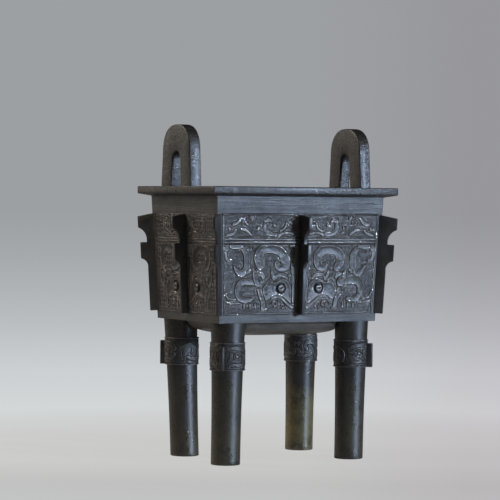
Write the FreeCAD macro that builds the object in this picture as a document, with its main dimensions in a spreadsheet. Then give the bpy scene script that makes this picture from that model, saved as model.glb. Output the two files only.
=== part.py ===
import FreeCAD, Part
import math
import os
import Sketcher
from FreeCAD import Placement, Rotation, Vector

# Rectangular ritual vessel of cast bronze, with four legs and two upright ears.
# Frame: X runs along the long sides, -Y is the front, +Z is up, and the origin is
# on the ground under the middle of the vessel. Lengths are millimetres.

SIZES = {
    # legs
    "leg_height": 104.2,
    "leg_spacing_long": 107.0,
    "leg_spacing_short": 73.2,
    "leg_top_radius": 12.7,
    "leg_waist_radius": 11.1,
    "leg_waist_height": 45.0,
    "leg_foot_radius": 10.8,
    "leg_wall": 3.4,
    "leg_sole": 6.0,
    "leg_spigot_height": 2.4,
    "leg_spigot_wall": 1.3,
    "core_gap": 0.25,
    "seat_gap": 0.2,
    # box
    "body_bottom_length": 134.5,
    "body_bottom_width": 96.0,
    "body_top_length": 143.4,
    "body_top_width": 102.9,
    "body_height": 92.9,
    "wall": 4.0,
    "floor_thickness": 5.0,
    "dome_drop": 11.0,
    "dome_length": 116.0,
    "dome_width": 80.0,
    "dome_bottom_rounding": 9.0,
    "dome_corner_rounding": 12.0,
    "sink_length": 98.0,
    "sink_width": 62.0,
    "sink_corner_rounding": 18.0,
    "sink_bottom_rounding": 6.0,
    # rim
    "rim_overhang_long": 7.8,
    "rim_overhang_short": 8.55,
    "rim_thickness": 7.2,
    "rim_underside_rise": 1.8,
    "rim_edge_chamfer": 0.8,
    "tongue_thickness": 2.0,
    "tongue_height": 2.5,
    # ears
    "ear_height": 45.7,
    "ear_base_width": 46.0,
    "ear_shoulder_width": 42.4,
    "ear_shoulder_height": 24.5,
    "ear_thickness": 9.4,
    "ear_inset": 0.9,
    "slot_bottom_width": 15.0,
    "slot_shoulder_width": 12.2,
    "slot_shoulder_height": 19.8,
    "slot_height": 26.0,
    "tenon_depth": 3.6,
    "tenon_thickness": 5.0,
    "tenon_width": 9.0,
    "tenon_gap": 0.1,
    # ornament zones of the sides
    "bottom_band": 5.8,
    "neck_band": 12.2,
    "frieze_height": 21.8,
    "ridge_width": 1.2,
    "ridge_pitch": 2.2,
    "inlay_depth": 1.0,
    "ornament_relief": 1.5,
    "panel_end_margin": 3.4,
    "panel_flange_gap": 0.3,
    "mask_reach": 38.7,
    "broad_stroke": 6.2,
    "medium_stroke": 4.4,
    "narrow_stroke": 3.0,
    # eyes of the masks
    "eye_radius": 3.4,
    "eye_height": 1.8,
    "eye_collar": 0.6,
    "eye_spacing": 32.6,
    "eye_level": 19.6,
    # flanges on the body
    "flange_thickness": 3.2,
    "flange_root": 3.0,
    "flange_top_drop": 2.1,
    "flange_top_inset": 0.6,
    "hook_height": 8.6,
    "notch_height": 8.5,
    "notch_radius": 10.0,
    "step_height": 2.8,
    "barb_height": 12.4,
    "heel_height": 7.6,
    "heel_radius": 6.4,
    "corner_hook_reach": 12.0,
    "corner_barb_reach": 10.8,
    "corner_low_reach": 5.5,
    "long_side_hook_reach": 13.7,
    "long_side_barb_reach": 13.0,
    "long_side_low_reach": 6.8,
    "short_side_hook_reach": 10.6,
    "short_side_barb_reach": 9.6,
    "short_side_low_reach": 5.4,
    # bands on the legs
    "band_bottom": 69.3,
    "band_height": 20.7,
    "band_radius": 13.2,
    "band_flange_reach": 3.6,
    "band_flange_thickness": 3.0,
    "band_flange_height": 18.0,
    "band_groove_depth": 0.5,
    "band_groove_width": 1.0,
    "band_border": 2.0,
    # each foot stands a little off its seat, as the mould let it
    "front_left_foot_x": -1.0,
    "front_left_foot_y": 0.4,
    "front_right_foot_x": -1.2,
    "front_right_foot_y": 0.4,
    "back_left_foot_x": 3.0,
    "back_left_foot_y": -2.6,
    "back_right_foot_x": -0.8,
    "back_right_foot_y": 0.4,
    # one overrun for every cutting tool
    "overrun": 2.0,
}


class Measure:
    """A length that knows both its number and the formula that ties it to the sheet."""

    def __init__(self, number, formula):
        self.number = number
        self.formula = formula

    def __float__(self):
        return self.number

    def __str__(self):
        return self.formula

    def __neg__(self):
        return Measure(-self.number, f"(-1 * {self.formula})")

    def __add__(self, other):
        other = measure(other)
        return Measure(self.number + other.number, f"({self.formula} + {other.formula})")

    def __sub__(self, other):
        other = measure(other)
        return Measure(self.number - other.number, f"({self.formula} - {other.formula})")

    def __mul__(self, other):
        other = measure(other)
        return Measure(self.number * other.number, f"({self.formula} * {other.formula})")

    def __truediv__(self, other):
        other = measure(other)
        return Measure(self.number / other.number, f"({self.formula} / {other.formula})")


def measure(amount):
    """A plain number, such as zero or a share, as a Measure."""
    if isinstance(amount, Measure):
        return amount
    return Measure(float(amount), repr(float(amount)))


ZERO = measure(0)

doc = FreeCAD.newDocument("ritual_vessel")
sheet = doc.addObject("Spreadsheet::Sheet", "sizes")
for row, (name, amount) in enumerate(SIZES.items(), start=1):
    sheet.set(f"A{row}", name)
    sheet.set(f"B{row}", str(amount))
    sheet.setAlias(f"B{row}", name)
doc.recompute()


def size(name):
    """One size of the sheet, with its number and its formula."""
    return Measure(float(sheet.get(name)), f"sizes.{name}")


def bind(item, **formulas):
    """Tie properties of an object to formulas in the sheet's sizes."""
    for prop, formula in formulas.items():
        item.setExpression(prop, str(formula))
    return item


# Levels and slopes that several pieces share.
body_bottom = size("leg_height")
rim_bottom = body_bottom + size("body_height")
rim_top = rim_bottom + size("rim_thickness")
zone_bottom = body_bottom + size("bottom_band")
zone_height = size("body_height") - size("bottom_band") - size("neck_band")
mask_height = zone_height - size("frieze_height")
HALF = 0.5
rim_half_length = size("body_top_length") * HALF + size("rim_overhang_long")
rim_half_width = size("body_top_width") * HALF + size("rim_overhang_short")

# Angles in degrees, and how a sketch counts the points of an edge.
FULL_TURN = 360
HALF_TURN = 180
QUARTER_TURN = 90
START_POINT, END_POINT, CENTRE_POINT = 1, 2, 3


def flare(direction):
    """How much one wall leans out over the height of the body."""
    return (size(f"body_top_{direction}") - size(f"body_bottom_{direction}")) * HALF


def half_extent(direction, above_bottom):
    """Half the outer length or width of the body at a height above its bottom."""
    lean = flare(direction) * above_bottom / size("body_height")
    return size(f"body_bottom_{direction}") * HALF + lean


# Sketches and features.

def sketch_on(body, role, lift=ZERO):
    """A sketch on one of the body's own origin planes, lifted along the plane's normal."""
    sketch = body.newObject("Sketcher::SketchObject", f"{body.Name}_sketch")
    plane = next(item for item in body.Origin.OriginFeatures if item.Role == role)
    sketch.AttachmentSupport = [(plane, "")]
    sketch.MapMode = "FlatFace"
    if lift is not ZERO:
        sketch.setExpression("AttachmentOffset.Base.z", str(lift))
    return sketch


def hold(sketch, kind, edge, end, place):
    """Hold one end of an edge at a distance from the sketch's origin along one axis."""
    number = sketch.addConstraint(Sketcher.Constraint(kind, -1, 1, edge, end, float(place)))
    sketch.setExpression(f"Constraints[{number}]", str(place))


def pin(sketch, edge, end, x, y):
    """Hold one end of an edge, or a circle's centre, at x, y from the sketch's origin."""
    for kind, axis, place in (("DistanceX", -2, x), ("DistanceY", -1, y)):
        if float(place) == 0:
            sketch.addConstraint(Sketcher.Constraint("PointOnObject", edge, end, axis))
        else:
            hold(sketch, kind, edge, end, place)


def set_radius(sketch, edge, radius):
    number = sketch.addConstraint(Sketcher.Constraint("Radius", edge, float(radius)))
    sketch.setExpression(f"Constraints[{number}]", str(radius))


def arc_between(start, end, radius, side, rise=None):
    """An arc from start to end that bulges to the left (1) or right (-1) of the way."""
    chord = end - start
    half = chord.Length * HALF
    if rise is None:
        rise = radius - math.sqrt(max(radius * radius - half * half, 0))
    left = Vector(-chord.y, chord.x, 0).normalize()
    centre = (start + end) * HALF + left * side * (rise - radius)
    first, last = (end, start) if side > 0 else (start, end)
    angle = [math.atan2(place.y - centre.y, place.x - centre.x) for place in (first, last)]
    circle = Part.Circle(centre, Vector(0, 0, 1), radius)
    ends = (END_POINT, START_POINT) if side > 0 else (START_POINT, END_POINT)
    return Part.ArcOfCircle(circle, angle[0], angle[1]), ends


def outline(sketch, stops):
    """A closed outline through stops (x, y), or (x, y, radius, side) at an arc's end.

    An arch over a level line adds its rise: (x, y, radius, side, rise).
    """
    edges = []
    for before, stop in zip([stops[-1]] + stops[:-1], stops):
        start = Vector(float(before[0]), float(before[1]), 0)
        end = Vector(float(stop[0]), float(stop[1]), 0)
        shape, ends = Part.LineSegment(start, end), (START_POINT, END_POINT)
        if len(stop) > 2:
            rise = float(stop[4]) if len(stop) > 4 else None
            shape, ends = arc_between(start, end, float(stop[2]), stop[3], rise)
        edges.append((sketch.addGeometry(shape), ends))
    for place, (edge, ends) in enumerate(edges):
        following, following_ends = edges[(place + 1) % len(edges)]
        joint = Sketcher.Constraint("Coincident", edge, ends[1], following, following_ends[0])
        sketch.addConstraint(joint)
        pin(sketch, edge, ends[1], stops[place][0], stops[place][1])
        if len(stops[place]) == 4:
            set_radius(sketch, edge, stops[place][2])
        if len(stops[place]) > 4:
            _, level, radius, _, rise = stops[place]
            hold(sketch, "DistanceY", edge, CENTRE_POINT, level + rise - radius)


def rectangle(sketch, left, right, low, high):
    outline(sketch, [(left, low), (right, low), (right, high), (left, high)])


def circle(sketch, x, y, radius):
    shape = Part.Circle(Vector(float(x), float(y), 0), Vector(0, 0, 1), float(radius))
    edge = sketch.addGeometry(shape)
    pin(sketch, edge, CENTRE_POINT, x, y)
    set_radius(sketch, edge, radius)


def new_body(name):
    return doc.addObject("PartDesign::Body", name)


def pad(body, sketch, length, symmetric=False, downward=False):
    feature = body.newObject("PartDesign::Pad", f"{body.Name}_pad")
    feature.Profile = sketch
    feature.SideType = "Symmetric" if symmetric else "One side"
    feature.Reversed = downward
    bind(feature, Length=length)
    return feature


def pocket(body, sketch, length, symmetric=False, upward=False):
    feature = body.newObject("PartDesign::Pocket", f"{body.Name}_pocket")
    feature.Profile = sketch
    feature.SideType = "Symmetric" if symmetric else "One side"
    feature.Reversed = upward
    bind(feature, Length=length)
    return feature


def loft(body, kind, sketches):
    feature = body.newObject(f"PartDesign::{kind}", f"{body.Name}_loft")
    feature.Profile = sketches[0]
    feature.Sections = sketches[1:]
    return feature


def tapered_block(name, level, height, inset, start=ZERO):
    """A block with the body's taper, inset from its faces, from a height above its bottom."""
    block = doc.addObject("Part::Wedge", name)
    for axis, direction in (("X", "length"), ("Z", "width")):
        low = half_extent(direction, start) - inset
        high = half_extent(direction, start + height) - inset
        bind(block, **{f"{axis}min": -low, f"{axis}max": low})
        bind(block, **{f"{axis}2min": -high, f"{axis}2max": high})
    bind(block, Ymin=ZERO, Ymax=height)
    upright = Rotation(Vector(1, 0, 0), QUARTER_TURN)
    block.Placement = Placement(Vector(0, 0, float(level)), upright)
    return block


def cylinder(name, radius, height, place):
    item = doc.addObject("Part::Cylinder", name)
    bind(item, Radius=radius, Height=height)
    item.Placement = Placement(place, Rotation())
    return item


def cut(name, base, tool):
    item = doc.addObject("Part::Cut", name)
    item.Base = base
    item.Tool = tool
    return item


def joined(name, items, kind="Part::MultiFuse"):
    item = doc.addObject(kind, name)
    if kind == "Part::Compound":
        item.Links = items
    else:
        item.Shapes = items
    return item


def part_feature(name, shape, placement=Placement()):
    item = doc.addObject("Part::Feature", name)
    item.Shape = shape
    item.Placement = placement
    return item


nodes = []


def keep(item, name):
    """Name a finished piece of the vessel."""
    item.Label = name
    nodes.append(item)
    return item


# Where the legs, corners and sides are.

LEGS = {"front_left": (-1, -1), "front_right": (1, -1), "back_left": (-1, 1), "back_right": (1, 1)}
# side: direction of its length, direction of its depth, turn about Z from the front
SIDES = {
    "front": ("length", "width", 0),
    "right": ("width", "length", QUARTER_TURN),
    "back": ("length", "width", HALF_TURN),
    "left": ("width", "length", -QUARTER_TURN),
}


def side_frame(side):
    """Frame of a side's ornament: X along the wall, Y up the wall, Z out of it."""
    depth_direction, turn = SIDES[side][1], SIDES[side][2]
    lean = math.degrees(math.atan2(float(flare(depth_direction)), float(size("body_height"))))
    out = float(half_extent(depth_direction, size("bottom_band")))
    about_z = Rotation(Vector(0, 0, 1), turn)
    upright = Rotation(Vector(1, 0, 0), QUARTER_TURN + lean)
    base = about_z.multVec(Vector(0, -out, float(zone_bottom)))
    return Placement(base, about_z.multiply(upright))


# Legs: lofted through a foot, a waist and a top circle, each foot a little shifted.

def foot_shift(leg, level):
    """The leg's centre at a level, off the middle of its seat."""
    share = (body_bottom - level) / body_bottom
    return size(f"{leg}_foot_x") * share, size(f"{leg}_foot_y") * share


def round_section(body, leg, level, radius):
    sketch = sketch_on(body, "XY_Plane", level)
    x, y = foot_shift(leg, level)
    circle(sketch, x, y, radius)
    return sketch


def leg_place(leg):
    x_sign, y_sign = LEGS[leg]
    x = float(size("leg_spacing_long")) * HALF * x_sign
    y = float(size("leg_spacing_short")) * HALF * y_sign
    return Vector(x, y, 0)


def leg_form(name, leg):
    """The outside of a leg, solid."""
    body = new_body(name)
    loft(body, "AdditiveLoft", [
        round_section(body, leg, ZERO, size("leg_foot_radius")),
        round_section(body, leg, size("leg_waist_height"), size("leg_waist_radius")),
        round_section(body, leg, body_bottom, size("leg_top_radius")),
    ])
    body.Placement = Placement(leg_place(leg), Rotation())
    return body


def make_leg(leg):
    """The hollow leg: open at the top, with a ring spigot that enters the bottom."""
    body = leg_form(f"leg_{leg}", leg)
    foot, waist, top = size("leg_foot_radius"), size("leg_waist_radius"), size("leg_top_radius")
    wall = size("leg_wall")
    spigot = sketch_on(body, "XY_Plane", body_bottom)
    circle(spigot, ZERO, ZERO, top - wall + size("leg_spigot_wall"))
    pad(body, spigot, size("leg_spigot_height"))
    bore = [
        round_section(body, leg, size("leg_sole"), foot - wall),
        round_section(body, leg, size("leg_waist_height"), waist - wall),
        round_section(body, leg, body_bottom, top - wall),
    ]
    loft(body, "SubtractiveLoft", bore)
    mouth = sketch_on(body, "XY_Plane", body_bottom)
    circle(mouth, ZERO, ZERO, top - wall)
    pocket(body, mouth, size("leg_spigot_height"), upward=True)
    return keep(body, f"leg_{leg}")


def make_leg_core(leg):
    """The fired clay core that stays in the leg after casting."""
    body = new_body(f"leg_core_{leg}")
    less = size("leg_wall") + size("core_gap")
    sections = [
        round_section(body, leg, size("leg_sole"), size("leg_foot_radius") - less),
        round_section(body, leg, size("leg_waist_height"), size("leg_waist_radius") - less),
        round_section(body, leg, body_bottom, size("leg_top_radius") - less),
    ]
    loft(body, "AdditiveLoft", sections)
    body.Placement = Placement(leg_place(leg), Rotation())
    return keep(body, f"leg_core_{leg}")


def make_leg_band(leg):
    """A sleeve of ornament round the leg, with a bordering groove at its top and bottom."""
    level = size("band_bottom")
    middle = level + size("band_height") * HALF
    shift_x, shift_y = foot_shift(leg, middle)
    centre = leg_place(leg) + Vector(float(shift_x), float(shift_y), float(level))
    sleeve = cylinder(f"band_blank_{leg}", size("band_radius"), size("band_height"), centre)
    tools = [leg_form(f"leg_form_{leg}", leg)]
    lower = size("band_border")
    upper = size("band_height") - size("band_border") - size("band_groove_width")
    for number, offset in enumerate((lower, upper)):
        place = centre + Vector(0, 0, float(offset))
        name = f"band_groove_{leg}_{number}"
        ring = cylinder(f"{name}_ring", size("band_radius") + size("overrun"),
                        size("band_groove_width"), place)
        keep_in = cylinder(f"{name}_keep", size("band_radius") - size("band_groove_depth"),
                           size("band_groove_width"), place)
        tools.append(cut(name, ring, keep_in))
    band = cut(f"leg_band_{leg}", sleeve, joined(f"band_tools_{leg}", tools))
    keep(band, f"leg_band_{leg}")
    return sleeve, centre


def make_leg_flange(leg, sleeve, centre):
    """The short plain flange that stands on the band, at the leg's outward diagonal."""
    x_sign, y_sign = LEGS[leg]
    blank = doc.addObject("Part::Box", f"leg_flange_blank_{leg}")
    bind(blank, Length=size("band_radius") + size("band_flange_reach"),
         Width=size("band_flange_thickness"), Height=size("band_flange_height"))
    turn = Rotation(Vector(0, 0, 1), math.degrees(math.atan2(y_sign, x_sign)))
    half_width = Vector(0, -float(size("band_flange_thickness")) * HALF, 0)
    blank.Placement = Placement(centre + turn.multVec(half_width), turn)
    flange = cut(f"leg_flange_{leg}", blank, sleeve)
    return keep(flange, f"leg_flange_{leg}")


# Body, bottom and rim.

def ear_side(side):
    """The sign of an ear's X, and the X of its middle plane."""
    sign = -1 if side == "left" else 1
    middle = rim_half_length - size("ear_inset") - size("ear_thickness") * HALF
    return sign, middle


def rounded_tray(name, length, width, depth, corner_rounding, bottom_rounding):
    """A flat-topped block that goes down from its own XY plane, rounded at its bottom."""
    body = new_body(name)
    sketch = sketch_on(body, "XY_Plane")
    rectangle(sketch, length * -HALF, length * HALF, width * -HALF, width * HALF)
    solid = pad(body, sketch, depth, downward=True)
    doc.recompute()
    upright = [f"Edge{number}" for number, edge in enumerate(solid.Shape.Edges, start=1)
               if abs(edge.tangentAt(edge.FirstParameter).z) > HALF]
    corners = body.newObject("PartDesign::Fillet", f"{name}_corners")
    corners.Base = (solid, upright)
    bind(corners, Radius=corner_rounding)
    doc.recompute()
    middle = -float(depth) * HALF
    below = [f"Edge{number}" for number, edge in enumerate(corners.Shape.Edges, start=1)
             if edge.BoundBox.ZMax < middle]
    bottom = body.newObject("PartDesign::Fillet", f"{name}_bottom")
    bottom.Base = (corners, below)
    bind(bottom, Radius=bottom_rounding)
    return body


def make_floor():
    """The bottom, let in between the walls, with a hollow dome below it between the legs."""
    thickness = size("floor_thickness")
    plate = tapered_block("floor_plate", body_bottom, thickness, size("wall"))
    dome = rounded_tray("floor_dome", size("dome_length"), size("dome_width"),
                        size("dome_drop"), size("dome_corner_rounding"),
                        size("dome_bottom_rounding"))
    dome.Placement = Placement(Vector(0, 0, float(body_bottom)), Rotation())
    sink = rounded_tray("floor_sink", size("sink_length"), size("sink_width"),
                        size("dome_drop"), size("sink_corner_rounding"),
                        size("sink_bottom_rounding"))
    sink.Placement = Placement(Vector(0, 0, float(body_bottom + thickness)), Rotation())
    tools = [sink]
    for leg in LEGS:
        low = leg_place(leg) + Vector(0, 0, float(body_bottom - size("dome_drop")))
        tools.append(cylinder(f"dome_clearance_{leg}", size("leg_top_radius") + size("seat_gap"),
                              size("dome_drop"), low))
        tools.append(spigot_tool(f"floor_seat_{leg}", leg))
    floor = cut("vessel_floor", joined("floor_blank", [plate, dome]), joined("floor_tools", tools))
    return keep(floor, "vessel_floor")


def spigot_tool(name, leg):
    """The seat that a leg's spigot enters."""
    radius = size("leg_top_radius") - size("leg_wall") + size("leg_spigot_wall")
    place = leg_place(leg) + Vector(0, 0, float(body_bottom - size("overrun")))
    height = size("leg_spigot_height") + size("overrun") + size("seat_gap")
    return cylinder(name, radius + size("seat_gap"), height, place)


def make_body(panel_plates):
    """Four walls that taper down, with a tongue on top and a seat for every panel."""
    outer = tapered_block("body_outer", body_bottom, size("body_height"), ZERO)
    inset = size("wall") - size("tongue_thickness")
    tongue = doc.addObject("Part::Box", "body_tongue")
    length = size("body_top_length") - inset * 2
    width = size("body_top_width") - inset * 2
    bind(tongue, Length=length, Width=width, Height=size("tongue_height"))
    corner = Vector(-float(length) * HALF, -float(width) * HALF, float(rim_bottom))
    tongue.Placement = Placement(corner, Rotation())
    cavity = tapered_block("body_cavity", body_bottom, size("body_height"), size("wall"))
    mouth = doc.addObject("Part::Box", "body_mouth")
    length = size("body_top_length") - size("wall") * 2
    width = size("body_top_width") - size("wall") * 2
    bind(mouth, Length=length, Width=width, Height=size("tongue_height") + size("overrun"))
    corner = Vector(-float(length) * HALF, -float(width) * HALF, float(rim_bottom))
    mouth.Placement = Placement(corner, Rotation())
    blank = joined("body_blank", [outer, tongue])
    hollow = cut("body_hollow", blank, joined("body_inside", [cavity, mouth]))
    seats = [spigot_tool(f"wall_seat_{leg}", leg) for leg in LEGS]
    seated = cut("body_seated", hollow, joined("wall_seats", seats))
    for zone, plates in panel_plates.items():
        tool = joined(f"{zone}_pockets", plates, "Part::Compound")
        seated = cut(f"body_with_{zone}_pockets", seated, tool)
    return keep(seated, "vessel_body")


def make_rim():
    """The flaring rim: flat above, rising outward below, with a rebate and four mortises."""
    body = new_body("rim")
    half_length = size("body_top_length") * HALF
    half_width = size("body_top_width") * HALF
    root = sketch_on(body, "XY_Plane")
    rectangle(root, -half_length, half_length, -half_width, half_width)
    edge = sketch_on(body, "XY_Plane", size("rim_underside_rise"))
    rectangle(edge, -rim_half_length, rim_half_length, -rim_half_width, rim_half_width)
    loft(body, "AdditiveLoft", [root, edge])
    frame = sketch_on(body, "XY_Plane", size("rim_underside_rise"))
    rectangle(frame, -rim_half_length, rim_half_length, -rim_half_width, rim_half_width)
    solid = pad(body, frame, size("rim_thickness") - size("rim_underside_rise"))
    doc.recompute()
    chamfer = body.newObject("PartDesign::Chamfer", "rim_edges")
    above_slope = float(size("rim_underside_rise")) + float(size("seat_gap"))
    rim_edges = [f"Edge{number}" for number, edge in enumerate(solid.Shape.Edges, start=1)
                 if edge.BoundBox.ZMax > above_slope]
    chamfer.Base = (solid, rim_edges)
    bind(chamfer, Size=size("rim_edge_chamfer"))
    opening = sketch_on(body, "XY_Plane")
    half_length = size("body_top_length") * HALF - size("wall")
    half_width = size("body_top_width") * HALF - size("wall")
    rectangle(opening, -half_length, half_length, -half_width, half_width)
    pocket(body, opening, size("rim_thickness"), upward=True)
    rebate = sketch_on(body, "XY_Plane")
    half_length = half_length + size("tongue_thickness")
    half_width = half_width + size("tongue_thickness")
    rectangle(rebate, -half_length, half_length, -half_width, half_width)
    pocket(body, rebate, size("tongue_height"), upward=True)
    mortises = sketch_on(body, "XY_Plane", size("rim_thickness"))
    for side in ("left", "right"):
        sign, middle = ear_side(side)
        half_thickness = size("tenon_thickness") * HALF + size("tenon_gap")
        for end in (-1, 1):
            near, far = tenon_ends()
            near, far = near - size("tenon_gap"), far + size("tenon_gap")
            left, right = sorted_pair(middle - half_thickness, middle + half_thickness, sign)
            low, high = sorted_pair(near, far, end)
            rectangle(mortises, left, right, low, high)
    pocket(body, mortises, size("tenon_depth"))
    body.Placement = Placement(Vector(0, 0, float(rim_bottom)), Rotation())
    return keep(body, "rim")


def sorted_pair(near, far, sign):
    """A span on the positive side, or its mirror image, lower end first."""
    return (near, far) if sign > 0 else (-far, -near)


def tenon_ends():
    """How far from the ear's middle each tenon starts and ends."""
    half = size("ear_base_width") * HALF
    slot = size("slot_bottom_width") * HALF
    middle = (half + slot) * HALF
    return middle - size("tenon_width") * HALF, middle + size("tenon_width") * HALF


def arch_radius(half_width, rise):
    """The radius of an arch of a given half width and rise."""
    return (half_width * half_width + rise * rise) / (rise * 2)


def make_ear(side):
    """A stilted arch of plate with a round-topped slot, on two tenons."""
    sign, middle = ear_side(side)
    body = new_body(f"ear_{side}")
    half_base = size("ear_base_width") * HALF
    half_shoulder = size("ear_shoulder_width") * HALF
    shoulder = size("ear_shoulder_height")
    rise = size("ear_height") - shoulder
    arch = sketch_on(body, "YZ_Plane")
    outline(arch, [
        (-half_base, ZERO),
        (half_base, ZERO),
        (half_shoulder, shoulder),
        (-half_shoulder, shoulder, arch_radius(half_shoulder, rise), -1, rise),
    ])
    pad(body, arch, size("ear_thickness"), symmetric=True)
    slot = sketch_on(body, "YZ_Plane")
    half_bottom = size("slot_bottom_width") * HALF
    half_top = size("slot_shoulder_width") * HALF
    shoulder = size("slot_shoulder_height")
    rise = size("slot_height") - shoulder
    outline(slot, [
        (-half_bottom, ZERO),
        (half_bottom, ZERO),
        (half_top, shoulder),
        (-half_top, shoulder, arch_radius(half_top, rise), -1, rise),
    ])
    pocket(body, slot, size("ear_thickness") + size("overrun"), symmetric=True)
    tenons = sketch_on(body, "XY_Plane")
    half_thickness = size("tenon_thickness") * HALF
    near, far = tenon_ends()
    for end in (-1, 1):
        low, high = sorted_pair(near, far, end)
        rectangle(tenons, -half_thickness, half_thickness, low, high)
    pad(body, tenons, size("tenon_depth"), downward=True)
    place = Vector(float(middle) * sign, 0, float(rim_top))
    body.Placement = Placement(place, Rotation())
    return keep(body, f"ear_{side}")


# Flanges on the corners and on the middle of each side.

def flange_blank(name, kind, placement):
    """A hooked flange in profile: X out from the wall, Z up, its thickness along Y."""
    hook = size(f"{kind}_hook_reach")
    barb = size(f"{kind}_barb_reach")
    low = size(f"{kind}_low_reach")
    root = -size("flange_root")
    top = zone_height - size("flange_top_inset")
    hook_top = top - size("flange_top_drop")
    hook_bottom = hook_top - size("hook_height")
    notch_bottom = hook_bottom - size("notch_height")
    step = notch_bottom - size("step_height")
    barb_bottom = step - size("barb_height")
    heel_bottom = barb_bottom - size("heel_height")
    body = new_body(name)
    profile = sketch_on(body, "XZ_Plane")
    outline(profile, [
        (root, ZERO),
        (low, ZERO),
        (low, heel_bottom),
        (barb, barb_bottom, size("heel_radius"), 1),
        (barb, step),
        (low, step),
        (low, notch_bottom),
        (hook, hook_bottom, size("notch_radius"), 1),
        (hook, hook_top),
        (root, top),
    ])
    pad(body, profile, size("flange_thickness"), symmetric=True)
    body.Placement = placement
    return body


def make_corner_flange(corner, outer):
    x_sign, y_sign = LEGS[corner]
    x = float(half_extent("length", size("bottom_band"))) * x_sign
    y = float(half_extent("width", size("bottom_band"))) * y_sign
    lean_out = math.hypot(float(flare("length")), float(flare("width")))
    lean = math.degrees(math.atan2(lean_out, float(size("body_height"))))
    turn = Rotation(Vector(0, 0, 1), math.degrees(math.atan2(y_sign, x_sign)))
    tilt = Rotation(Vector(0, 1, 0), lean)
    placement = Placement(Vector(x, y, float(zone_bottom)), turn.multiply(tilt))
    blank = flange_blank(f"corner_flange_blank_{corner}", "corner", placement)
    return keep(cut(f"corner_flange_{corner}", blank, outer), f"corner_flange_{corner}")


def make_side_flange(side, outer):
    along = SIDES[side][0]
    kind = "long_side" if along == "length" else "short_side"
    frame = side_frame(side)
    # the flange's own X goes out of the wall, and its own Z goes up the wall
    to_wall = Rotation(Vector(0, 0, 1), Vector(1, 0, 0), Vector(0, 1, 0), "ZXY")
    placement = Placement(frame.Base, frame.Rotation.multiply(to_wall))
    blank = flange_blank(f"side_flange_blank_{side}", kind, placement)
    return keep(cut(f"side_flange_{side}", blank, outer), f"side_flange_{side}")


# Ornament panels. A stroke is a run of arcs through start, middle, end, middle, end...
# Its places are shares: across, of the field's reach from the middle of the side, and
# up, of the field's height. A straight stroke has two places.

MASK_STROKE_SHARES = [
    ("broad_stroke", [(0.88, 0.64), (0.90, 0.80), (0.60, 0.90), (0.37, 0.88), (0.31, 0.77),
                      (0.34, 0.67), (0.47, 0.66)]),
    ("narrow_stroke", [(0.17, 0.94), (0.16, 0.58)]),
    ("narrow_stroke", [(0.65, 0.60), (0.58, 0.49), (0.50, 0.53), (0.40, 0.57), (0.28, 0.52)]),
    ("broad_stroke", [(0.91, 0.54), (0.88, 0.42)]),
    ("broad_stroke", [(0.74, 0.46), (0.64, 0.30)]),
    ("medium_stroke", [(0.90, 0.34), (0.87, 0.22), (0.80, 0.10)]),
    ("narrow_stroke", [(0.60, 0.20), (0.40, 0.26), (0.16, 0.10)]),
    ("narrow_stroke", [(0.14, 0.46), (0.13, 0.24)]),
]
SIDE_DRAGON_STROKE_SHARES = [
    ("medium_stroke", [(0.86, 0.86), (0.88, 0.76), (0.72, 0.72)]),
    ("broad_stroke", [(0.60, 0.80), (0.42, 0.70), (0.50, 0.58)]),
    ("medium_stroke", [(0.41, 0.52), (0.60, 0.35), (0.41, 0.19), (0.26, 0.15), (0.16, 0.20)]),
    ("narrow_stroke", [(0.90, 0.28), (0.76, 0.14), (0.52, 0.13)]),
]
FRIEZE_STROKE_SHARES = [
    ("narrow_stroke", [(0.48, 0.66), (0.49, 0.34), (0.38, 0.16), (0.25, 0.12), (0.11, 0.18)]),
    ("narrow_stroke", [(0.12, 0.64), (0.17, 0.86), (0.25, 0.74)]),
    ("narrow_stroke", [(0.42, 0.78), (0.37, 0.50), (0.28, 0.52)]),
    ("narrow_stroke", [(0.92, 0.62), (0.87, 0.52), (0.80, 0.76)]),
    ("narrow_stroke", [(0.95, 0.16), (0.86, 0.24), (0.78, 0.32), (0.69, 0.36), (0.60, 0.15)]),
    ("narrow_stroke", [(0.75, 0.52), (0.70, 0.82), (0.61, 0.84)]),
]


def stroke_outline(places, width):
    """The closed outline, with round ends, of a run of arcs or of one straight line."""
    if len(places) > 2:
        spans = range(0, len(places) - 1, 2)
        edges = [Part.Arc(*places[first:first + 3]).toShape() for first in spans]
        return Part.Wire(edges).makeOffset2D(width * HALF, 0, False, False, False)
    start, end = places
    along = (end - start).normalize() * (width * HALF)
    across = Vector(-along.y, along.x, 0)
    edges = [
        Part.LineSegment(start - across, end - across),
        Part.Arc(end - across, end + along, end + across),
        Part.LineSegment(end + across, start + across),
        Part.Arc(start + across, start - along, start - across),
    ]
    return Part.Wire([edge.toShape() for edge in edges])


def stroke_solid(places, width, depth, height):
    """A raised line that starts at a depth in the plate."""
    face = Part.Face(stroke_outline(places, width))
    face.translate(Vector(0, 0, -depth))
    return face.extrude(Vector(0, 0, depth + height))


def panel_reach(side, up):
    """How far a panel goes from the middle of its side, at a height in the zone."""
    above = size("bottom_band") + up
    return half_extent(SIDES[side][0], above) - size("panel_end_margin")


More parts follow.
